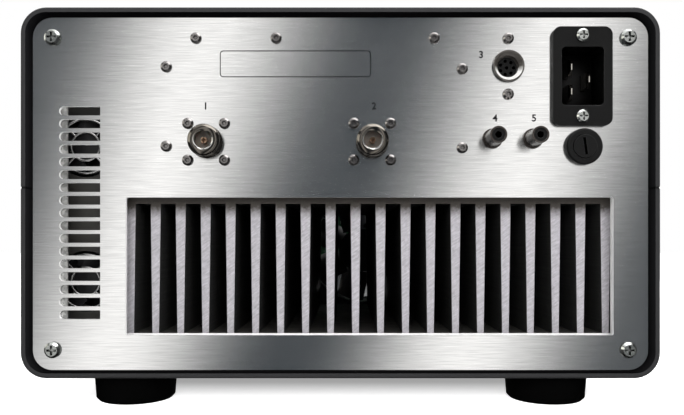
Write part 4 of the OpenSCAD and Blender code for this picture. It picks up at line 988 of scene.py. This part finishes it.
def grid_faces(rows: int, columns: int) -> np.ndarray:
    """Quads of a grid that closes on itself both ways.

    Args:
        rows: Points along the profile.
        columns: Points round the axis.

    Returns:
        Array of quads, as indices into row * columns + column.
    """
    row, column = np.meshgrid(np.arange(rows), np.arange(columns), indexing="ij")
    next_row, next_column = (row + 1) % rows, (column + 1) % columns
    corners = (row * columns + column, row * columns + next_column,
               next_row * columns + next_column, next_row * columns + column)
    return np.stack(corners, -1).reshape(-1, 4)


@dataclass
class RadioSocket:
    """A threaded radio socket: square flange behind the panel, barrel with a cut thread in front."""

    node: str
    barrel_r: float = 7.94 * MM
    bore_r: float = 5.2 * MM
    mouth_r: float = 4.35 * MM
    mouth_len: float = 3.0 * MM
    relief: float = 1.0 * MM
    edge: float = 0.8 * MM
    nose_len: float = 2.0 * MM
    nose_depth: float = 2.8 * MM
    nose_steps: int = 10
    lip: float = 0.7 * MM
    lip_depth: float = 0.35 * MM
    pitch: float = 25.4 * MM / 24
    thread_depth: float = 0.55 * MM
    thread_slope: float = 2.7
    run_out: float = 0.5
    panel_t: float = 2.0 * MM
    flange_t: float = 3.0 * MM
    flange_half: float = 12.7 * MM
    turns: int = 120
    steps_per_pitch: int = 8
    rows_after_lip: int = 4
    sharp: float = math.radians(40.0)

    def profile(self, reach: float, angle: np.ndarray) -> Shape:
        """The closed section of the body at every angle.

        Along the thread the radius falls from the crest by depth times a triangle wave of
        out / pitch + angle / one turn, cut off at 1, which winds the groove round the barrel as a
        helix and runs out over part of a pitch at both ends. The flange's radius is half its side
        over the larger of |cos| and |sin|, which is a square. The nose is a quarter of an ellipse
        from the last crest to the mouth, whose lip is a shallow cone before a short throat and the
        wider bore.

        Args:
            reach: How far the barrel stands out of the panel.
            angle: Angles round the axis, as a row.

        Returns:
            Distance out of the panel and radius, one row per point of the section.
        """
        start, end = self.relief, reach - self.nose_len
        count = int((end - start) / self.pitch * self.steps_per_pitch)
        along = np.linspace(start, end, count)[:, None]
        phase = np.mod(along / self.pitch + angle / (2.0 * np.pi), 1.0)
        groove = np.clip(self.thread_slope * (0.5 - np.abs(phase - 0.5)), 0.0, 1.0)
        fade = np.clip(np.minimum(along - start, end - along) / (self.run_out * self.pitch), 0.0, 1.0)
        thread = self.barrel_r - self.thread_depth * groove * fade
        square = self.flange_half / np.maximum(np.abs(np.cos(angle)), np.abs(np.sin(angle)))
        back, neck = -self.panel_t - self.flange_t, self.barrel_r - self.edge
        before = [(back, self.bore_r), (back, square), (-self.panel_t, square),
                  (-self.panel_t, neck), (start, neck)]
        turn = np.linspace(0.0, 0.5 * np.pi, self.nose_steps)[1:]
        nose_r = self.barrel_r - self.nose_depth * (1.0 - np.cos(turn))
        throat = reach - self.mouth_len
        after = [*zip(end + self.nose_len * np.sin(turn), nose_r),
                 (reach, self.mouth_r + self.lip), (reach - self.lip_depth, self.mouth_r),
                 (throat, self.mouth_r), (throat, self.bore_r)]
        level = np.ones_like(angle)
        out = [o * level for o, _ in before] + list(along * level) + [o * level for o, _ in after]
        radius = [r * level for _, r in before] + list(thread) + [r * level for _, r in after]
        return np.array(out), np.array(radius)

    def build(self) -> bpy.types.Object:
        """Builds the body in place of its CAD node.

        A point of the section turns about the barrel's axis, which runs along Y through the middle
        of the node's box.

        Returns:
            The new piece.
        """
        low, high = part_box(self.node)
        face = high.y - self.flange_t - self.panel_t
        centre_x, centre_z = (low.x + high.x) / 2, (low.z + high.z) / 2
        angle = np.linspace(0.0, 2.0 * np.pi, self.turns, endpoint=False)
        out, radius = self.profile(face - low.y, angle)
        points = np.stack(
            (centre_x + radius * np.cos(angle), face - out, centre_z + radius * np.sin(angle)), -1
        ).reshape(-1, 3)
        piece = mesh_piece(self.node + "_threaded", points, grid_faces(len(out), self.turns)[:, ::-1])
        piece.data.set_sharp_from_angle(angle=self.sharp)
        on_lip = np.arange(len(out)) == len(out) - self.rows_after_lip
        mark = np.repeat(on_lip, self.turns).astype(float)
        piece.data.attributes.new(LIP_MARK, "FLOAT", "FACE").data.foreach_set("value", mark)
        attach(piece, "case")
        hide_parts(self.node)
        return piece


@dataclass
class Blades:
    """The mains blades with the tapered tips that lead them into a plug."""

    node: str = "mains_inlet_blades"
    thick: float = 2.0 * MM
    tall: float = 8.0 * MM
    taper: float = 2.6 * MM
    tip: Pair = (0.6 * MM, 3.0 * MM)

    def build(self) -> bpy.types.Object:
        """Builds the three blades in place of their CAD node.

        A blade is three rectangles on one middle line, the tip, the shoulder and the back, joined
        by quads and closed at both ends.

        Returns:
            The new piece.
        """
        low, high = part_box(self.node)
        left, right = low.x + self.thick / 2, high.x - self.thick / 2
        below, above = low.z + self.tall / 2, high.z - self.tall / 2
        middles = np.array([(left, below), (left, above), (right, (below + above) / 2)])
        halves = np.array([self.tip, (self.thick, self.tall), (self.thick, self.tall)]) / 2
        depths = np.array([low.y, low.y + self.taper, high.y])
        corner = np.array([(-1, -1), (1, -1), (1, 1), (-1, 1)])
        flat = middles[:, None, None, :] + halves[None, :, None, :] * corner[None, None, :, :]
        deep = np.broadcast_to(depths[None, :, None], flat.shape[:3])
        points = np.stack((flat[..., 0], deep, flat[..., 1]), -1)
        around, each = len(corner), len(corner) * len(depths)
        ring, step = np.meshgrid(np.arange(len(depths) - 1), np.arange(around), indexing="ij")
        here, there, after = around * ring, around * (ring + 1), (step + 1) % around
        sides = np.stack((here + step, there + step, there + after, here + after), -1)
        ends = np.stack((np.arange(around), each - 1 - np.arange(around)))
        one = np.concatenate((sides.reshape(-1, around), ends))
        faces = np.concatenate([one + each * k for k in range(len(middles))])
        piece = mesh_piece(self.node + "_tapered", points.reshape(-1, 3), faces, smooth=False)
        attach(piece, "case")
        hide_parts(self.node)
        return piece


@dataclass
class Printing:
    """Flat ink on a panel, just clear of its face: numerals and a bare rounded outline."""

    name: str
    side: Side
    face_y: float
    proud: float = 0.03 * MM
    bolder: float = 0.12 * MM
    numeral_share: float = 0.7
    corner_steps: int = 9

    def place(self, flat: np.ndarray) -> np.ndarray:
        """Carries points given as viewer's right and up onto the panel's face.

        Args:
            flat: Array of N pairs.

        Returns:
            Array of N points in the frame.
        """
        across = -self.side.value * flat[:, 0]
        depth = np.full(len(flat), self.face_y + self.side.value * self.proud)
        return np.stack((across, depth, flat[:, 1]), -1)

    def numeral(self, text: str, right: float, up: float, height: float) -> Shape:
        """A numeral, centred at a place on the panel.

        Args:
            text: What it says.
            right: Place of its middle, to the viewer's right.
            up: Place of its middle above the ground.
            height: Height of the numerals.

        Returns:
            Points and triangles.
        """
        curve = bpy.data.curves.new("numeral", "FONT")
        curve.body, curve.size, curve.offset = text, height / self.numeral_share, self.bolder
        shape = bpy.data.objects.new("numeral", curve)
        bpy.context.scene.collection.objects.link(shape)
        bpy.context.view_layer.update()
        mesh = bpy.data.meshes.new_from_object(shape.evaluated_get(bpy.context.evaluated_depsgraph_get()))
        mesh.calc_loop_triangles()
        flat = np.zeros(len(mesh.vertices) * 3)
        mesh.vertices.foreach_get("co", flat)
        faces = np.zeros(len(mesh.loop_triangles) * 3, int)
        mesh.loop_triangles.foreach_get("vertices", faces)
        bpy.data.objects.remove(shape)
        bpy.data.meshes.remove(mesh)
        flat = flat.reshape(-1, 3)[:, :2]
        middle = (flat.min(0) + flat.max(0)) / 2
        return self.place(flat - middle + (right, up)), faces.reshape(-1, 3)

    def outline(self, box: Box, corner: float, line: float) -> Shape:
        """A line round a rounded rectangle: two offsets of one path, joined by quads.

        Each corner is a quarter turn of a circle about the corner's centre, and the straight
        sides are the quads between the quarters.

        Args:
            box: Left, low, right and high edge, as right and up.
            corner: Radius of the corners, at the middle of the line.
            line: Width of the line.

        Returns:
            Points and quads.
        """
        left, low, right, high = box
        turn = np.linspace(0.0, 0.5 * np.pi, self.corner_steps)
        angle = np.concatenate([turn + quarter * 0.5 * np.pi for quarter in range(4)])
        centre = np.repeat(
            np.array([(right, high), (left, high), (left, low), (right, low)])
            - corner * np.array([(1, 1), (-1, 1), (-1, -1), (1, -1)]),
            len(turn),
            axis=0,
        )
        ray = np.stack((np.cos(angle), np.sin(angle)), -1)
        flat = np.concatenate([centre + ray * (corner + s * line / 2) for s in (-1, 1)])
        step = np.arange(len(angle))
        after = (step + 1) % len(angle)
        faces = np.stack((step, step + len(angle), after + len(angle), after), -1)
        return self.place(flat), faces

    def build(self, shapes: list[Shape], ink: bpy.types.Material) -> bpy.types.Object:
        """Joins the shapes into one piece of ink.

        Args:
            shapes: Points and faces of each shape.
            ink: The finish of the ink.

        Returns:
            The new piece.
        """
        starts = np.cumsum([0] + [len(p) for p, _ in shapes[:-1]])
        points = np.concatenate([p for p, _ in shapes])
        faces = [f for start, (_, part) in zip(starts, shapes) for f in (part + start).tolist()]
        mesh = bpy.data.meshes.new(self.name)
        mesh.from_pydata(points.tolist(), [], faces)
        normals = np.zeros(len(mesh.polygons) * 3)
        mesh.polygons.foreach_get("normal", normals)
        if normals.reshape(-1, 3)[:, 1].sum() * self.side.value < 0:
            mesh.flip_normals()
        mesh.materials.append(ink)
        piece = bpy.data.objects.new(self.name, mesh)
        bpy.context.scene.collection.objects.link(piece)
        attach(piece, "case")
        return piece


@dataclass
class Amplifier:
    """The whole object: finishes on the CAD nodes, and the pieces that scene work adds.

    Places on the rear panel are given as the viewer's right and up, from the frame's origin.
    """

    shells: tuple[str, ...] = ("upper_shell", "lower_shell")
    radio_sockets: tuple[str, ...] = ("antenna_socket_body", "radio_socket_body")
    numerals: tuple[tuple[str, float, float], ...] = (
        ("1", -67.2 * MM, 149.3 * MM),
        ("2", 16.7 * MM, 149.3 * MM),
        ("3", 70.0 * MM, 174.9 * MM),
        ("4", 77.0 * MM, 143.3 * MM),
        ("5", 96.4 * MM, 143.3 * MM),
    )
    numeral_h: float = 3.4 * MM
    plate_box: Box = (-59.9 * MM, 163.8 * MM, 15.0 * MM, 176.7 * MM)
    plate_corner: float = 1.6 * MM
    plate_line: float = 0.45 * MM
    materials: dict[str, bpy.types.Material] = field(default_factory=dict)

    def dress(self) -> None:
        """Gives every CAD node its own finish or that of its slot, and keeps the shells out of mirrors."""
        self.materials = {slot: finish.material() for slot, finish in FINISHES.items()}
        own = {name: finish.material() for name, finish in NODE_FINISHES.items()}
        for row in frame["record"]["subparts"]:
            node = frame["nodes"][row["node"]]
            material = own.get(row["node"], self.materials[row["material_slot"]])
            node.data.materials.clear()
            node.data.materials.append(material)
            log.info("%s has %s", row["node"], material.name)
        for shell in self.shells:
            frame["nodes"][shell].visible_glossy = False

    def sockets(self) -> None:
        """Replaces the plain barrels of the radio sockets by threaded ones."""
        for node in self.radio_sockets:
            piece = RadioSocket(node).build()
            piece.data.materials.append(self.materials["socket_nickel"])
            log.info("%s stands for %s", piece.name, node)

    def blades(self) -> None:
        """Replaces the square-ended mains blades by tapered ones."""
        piece = Blades().build()
        piece.data.materials.append(self.materials["blade_metal"])
        log.info("%s has tapered tips", piece.name)

    def rear_printing(self) -> None:
        """Numbers the sockets and draws the bare outline on the rear panel."""
        low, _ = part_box("rear_panel")
        ink = Printing("rear_printing", Side.REAR, low.y)
        shapes = [ink.numeral(text, right, up, self.numeral_h) for text, right, up in self.numerals]
        shapes.append(ink.outline(self.plate_box, self.plate_corner, self.plate_line))
        piece = ink.build(shapes, BLACK_INK.material())
        log.info("%s has %d shapes", piece.name, len(shapes))

    def build(self) -> None:
        """Dresses the frame and adds the pieces."""
        self.dress()
        self.sockets()
        self.blades()
        self.rear_printing()


@dataclass
class Studio:
    """Camera, floor, white surround, softbox overhead and graded screens before both panels.

    The screens and cards stand out of view, and only mirror-like pieces show them.
    """

    lens: float = 36.97
    sensor: float = 36.0
    camera_place: Triple = (2.25 * MM, -508.5 * MM, 82.2 * MM)
    centre_px: Pair = (345.0, 240.6)
    screen_y: float = 1.21
    screen_half: float = 1.0
    screen_fade: float = 0.2
    surround_half: float = 1.7
    surround_high: float = 1.7
    dark_tone: Colour = (0.05, 0.05, 0.05)
    over_tone: Colour = (1.2, 1.2, 1.19)
    under_tone: Colour = (0.01, 0.01, 0.01)
    card_tone: Colour = (1.9, 1.87, 1.72)
    card_x: float = -1.2
    card_y: Pair = (-1.15, -0.2)
    card_z: Pair = (0.15, 0.8)
    band_pitch: float = 0.716
    band_middle: float = 0.350
    band_level: float = 0.205
    band_lean: float = 0.296
    band_power: float = 1.7
    band_dark: Colour = (0.028, 0.037, 0.045)
    band_bright: Colour = (1.15, 1.14, 1.125)
    band_lift: float = 0.03
    lift_range: Pair = (0.3, 0.65)
    key_place: Triple = (0.3, -0.4, 1.15)
    key_size: Pair = (1.2, 0.8)
    key_power: float = 9.0
    fill_place: Triple = (0.1, 1.0, 0.42)
    fill_size: Pair = (0.9, 0.35)
    fill_power: float = 9.0
    world_level: float = 0.4
    floor_half: float = 4.0
    floor_tone: float = 0.85
    painted_shadow_glow: Pair = (0.36, 1.0)
    painted_shadow_pool: Pair = (0.1, 0.145)

    def camera(self) -> None:
        """Sets the camera straight before the rear panel, shifted to the photograph's framing."""
        data = bpy.data.cameras.new("camera")
        data.lens, data.sensor_width = self.lens, self.sensor
        data.shift_x = (IMAGE_W / 2 - self.centre_px[0]) / IMAGE_W
        data.shift_y = (self.centre_px[1] - IMAGE_H / 2) / IMAGE_W
        camera = bpy.data.objects.new("camera", data)
        camera.location = self.camera_place
        camera.rotation_euler = (math.pi / 2, 0.0, 0.0)
        bpy.context.scene.collection.objects.link(camera)
        bpy.context.scene.camera = camera

    def sheet(self, name: str, corners: list[Triple], material: bpy.types.Material) -> bpy.types.Object:
        """A flat stage piece.

        Args:
            name: Its name.
            corners: Four points in order.
            material: Its finish.

        Returns:
            The new object.
        """
        piece = mesh_piece(name, np.array(corners), np.arange(len(corners))[None, :], smooth=False)
        piece.data.materials.append(material)
        return piece

    def reflected(self, name: str, corners: list[Triple], g: Graph, tone: Value) -> None:
        """A glowing sheet that only mirrors show.

        Args:
            name: Its name.
            corners: Four points in order.
            g: The graph of its finish.
            tone: Colour of its glow.
        """
        g.show(g.emission(Color=tone))
        piece = self.sheet(name, corners, g.material)
        piece.visible_camera = piece.visible_diffuse = piece.visible_shadow = False

    def seen(self, g: Graph) -> Socket:
        """1 for a ray from the camera, a mirror or a clear piece, and 0 for diffuse light.

        Args:
            g: The graph that takes the nodes.

        Returns:
            The factor socket.
        """
        path = g.node("ShaderNodeLightPath")
        direct = g.math("MAXIMUM", path.outputs["Is Camera Ray"], path.outputs["Is Glossy Ray"])
        return g.math("MAXIMUM", direct, path.outputs["Is Transmission Ray"])

    def floor(self) -> None:
        """A pale floor that reads as white round the object, keeps the shadow that the lamps cast, and has
        a painted shadow beneath the object where its glow falls off.
        """
        g = Graph("pale_floor")
        across, deep = (g.off(g.split(g.coords(), axis)) for axis in ("X", "Y"))
        # Painted shadow: the glow falls off inside the object's footprint.
        glow = g.span(g.math("MAXIMUM", across, deep), *self.painted_shadow_glow, *self.painted_shadow_pool)
        light = g.emission(Strength=g.math("MULTIPLY", self.seen(g), glow))
        total = g.node("ShaderNodeAddShader")
        g.link(g.diffuse((self.floor_tone,) * 3), total.inputs[0])
        g.link(light, total.inputs[1])
        g.show(total.outputs["Shader"])
        half = self.floor_half
        corners = [(-half, -half, 0.0), (half, -half, 0.0), (half, half, 0.0), (-half, half, 0.0)]
        self.sheet("floor", corners, g.material).visible_glossy = False

    def screens(self) -> None:
        """Graded screens before both panels, whose soft bands the brushed metal mirrors.

        The tone across a screen is a power of a raised cosine of the place along X less a lean
        times the height, from dark to bright, and a little paler towards both sides.
        """
        for side in Side:
            g = Graph(f"graded_screen_{side.name.lower()}")
            across, height = (g.split(g.coords(), axis) for axis in ("X", "Z"))
            leaning = g.math("MULTIPLY", g.math("SUBTRACT", height, self.band_level), self.band_lean)
            along = g.math("SUBTRACT", g.math("SUBTRACT", across, self.band_middle), leaning)
            wave = g.math("COSINE", g.math("MULTIPLY", along, 2.0 * math.pi / self.band_pitch))
            band = g.math("POWER", g.span(wave, 0.0, 1.0, -1.0, 1.0), self.band_power)
            aside = g.span(g.off(across), 0.0, self.band_lift, *self.lift_range)
            within = g.span(g.off(across), 1.0, 0.0, self.screen_half, self.screen_half + self.screen_fade)
            share = g.math("MULTIPLY", g.math("ADD", band, aside), within)
            y, half = side.value * self.screen_y, self.surround_half
            corners = [(-half, y, -half), (half, y, -half), (half, y, half), (-half, y, half)]
            tone = g.mix(share, self.band_dark, self.band_bright)
            self.reflected(f"screen_{side.name.lower()}", corners, g, tone)

    def flags(self) -> None:
        """Cards all round, pale overhead and at the left, and dark elsewhere."""
        w, h, y, x = self.surround_half, self.surround_high, self.screen_y, self.card_x
        (near, far), (low, high) = self.card_y, self.card_z
        cards = {
            "flag_left": (self.dark_tone, [(-w, -y, -h), (-w, y, -h), (-w, y, h), (-w, -y, h)]),
            "flag_right": (self.dark_tone, [(w, -y, -h), (w, y, -h), (w, y, h), (w, -y, h)]),
            "flag_over": (self.over_tone, [(-w, -y, h), (w, -y, h), (w, y, h), (-w, y, h)]),
            "flag_under": (self.under_tone, [(-w, -y, -h), (w, -y, -h), (w, y, -h), (-w, y, -h)]),
            "card_left": (self.card_tone, [(x, near, low), (x, far, low), (x, far, high), (x, near, high)]),
        }
        for name, (tone, corners) in cards.items():
            self.reflected(name, corners, Graph(name), tone)

    def lamp(self, name: str, place: Triple, size: Pair, power: float) -> bpy.types.Object:
        """A rectangular lamp that faces the object.

        Args:
            name: Its name.
            place: Where it stands.
            size: Width and height.
            power: Its power.

        Returns:
            The new lamp.
        """
        data = bpy.data.lights.new(name, "AREA")
        data.shape, data.energy = "RECTANGLE", power
        data.size, data.size_y = size
        lamp = bpy.data.objects.new(name, data)
        lamp.location = place
        to_object = Vector((0.0, 0.0, CASE_MIDDLE_Z)) - lamp.location
        lamp.rotation_euler = to_object.to_track_quat("-Z", "Y").to_euler()
        lamp.visible_camera = False
        bpy.context.scene.collection.objects.link(lamp)
        return lamp

    def lamps(self) -> None:
        """A broad softbox overhead, and a low fill before each panel that metal doesn't mirror."""
        self.lamp("softbox", self.key_place, self.key_size, self.key_power)
        x, y, z = self.fill_place
        for side in Side:
            place = (x, side.value * y, z)
            fill = self.lamp(f"fill_{side.name.lower()}", place, self.fill_size, self.fill_power)
            fill.visible_glossy = False

    def world(self) -> None:
        """An even surround: grey as a light, and white where it is seen or mirrored."""
        world = bpy.data.worlds.new("surround")
        world.use_nodes = True
        tree = world.node_tree
        tree.nodes.clear()
        path = tree.nodes.new("ShaderNodeLightPath")
        seen = path.outputs["Is Camera Ray"]
        for output in ("Is Glossy Ray", "Is Transmission Ray"):
            more = tree.nodes.new("ShaderNodeMath")
            more.operation = "MAXIMUM"
            tree.links.new(seen, more.inputs[0])
            tree.links.new(path.outputs[output], more.inputs[1])
            seen = more.outputs["Value"]
        level = tree.nodes.new("ShaderNodeMapRange")
        level.inputs["To Min"].default_value = self.world_level
        level.inputs["To Max"].default_value = 1.0
        tree.links.new(seen, level.inputs["Value"])
        sky = tree.nodes.new("ShaderNodeBackground")
        sky.inputs["Color"].default_value = (1.0, 1.0, 1.0, 1.0)
        tree.links.new(level.outputs["Result"], sky.inputs["Strength"])
        surround = tree.nodes.new("ShaderNodeOutputWorld")
        tree.links.new(sky.outputs["Background"], surround.inputs["Surface"])
        bpy.context.scene.world = world

    def build(self) -> None:
        """Sets up the view, the floor and the light."""
        bpy.context.scene.view_settings.view_transform = "Standard"
        self.camera()
        self.floor()
        self.screens()
        self.flags()
        self.lamps()
        self.world()


def main() -> None:
    """Builds the studio and the object."""
    Studio().build()
    Amplifier().build()


if __name__ == "__main__":
    main()
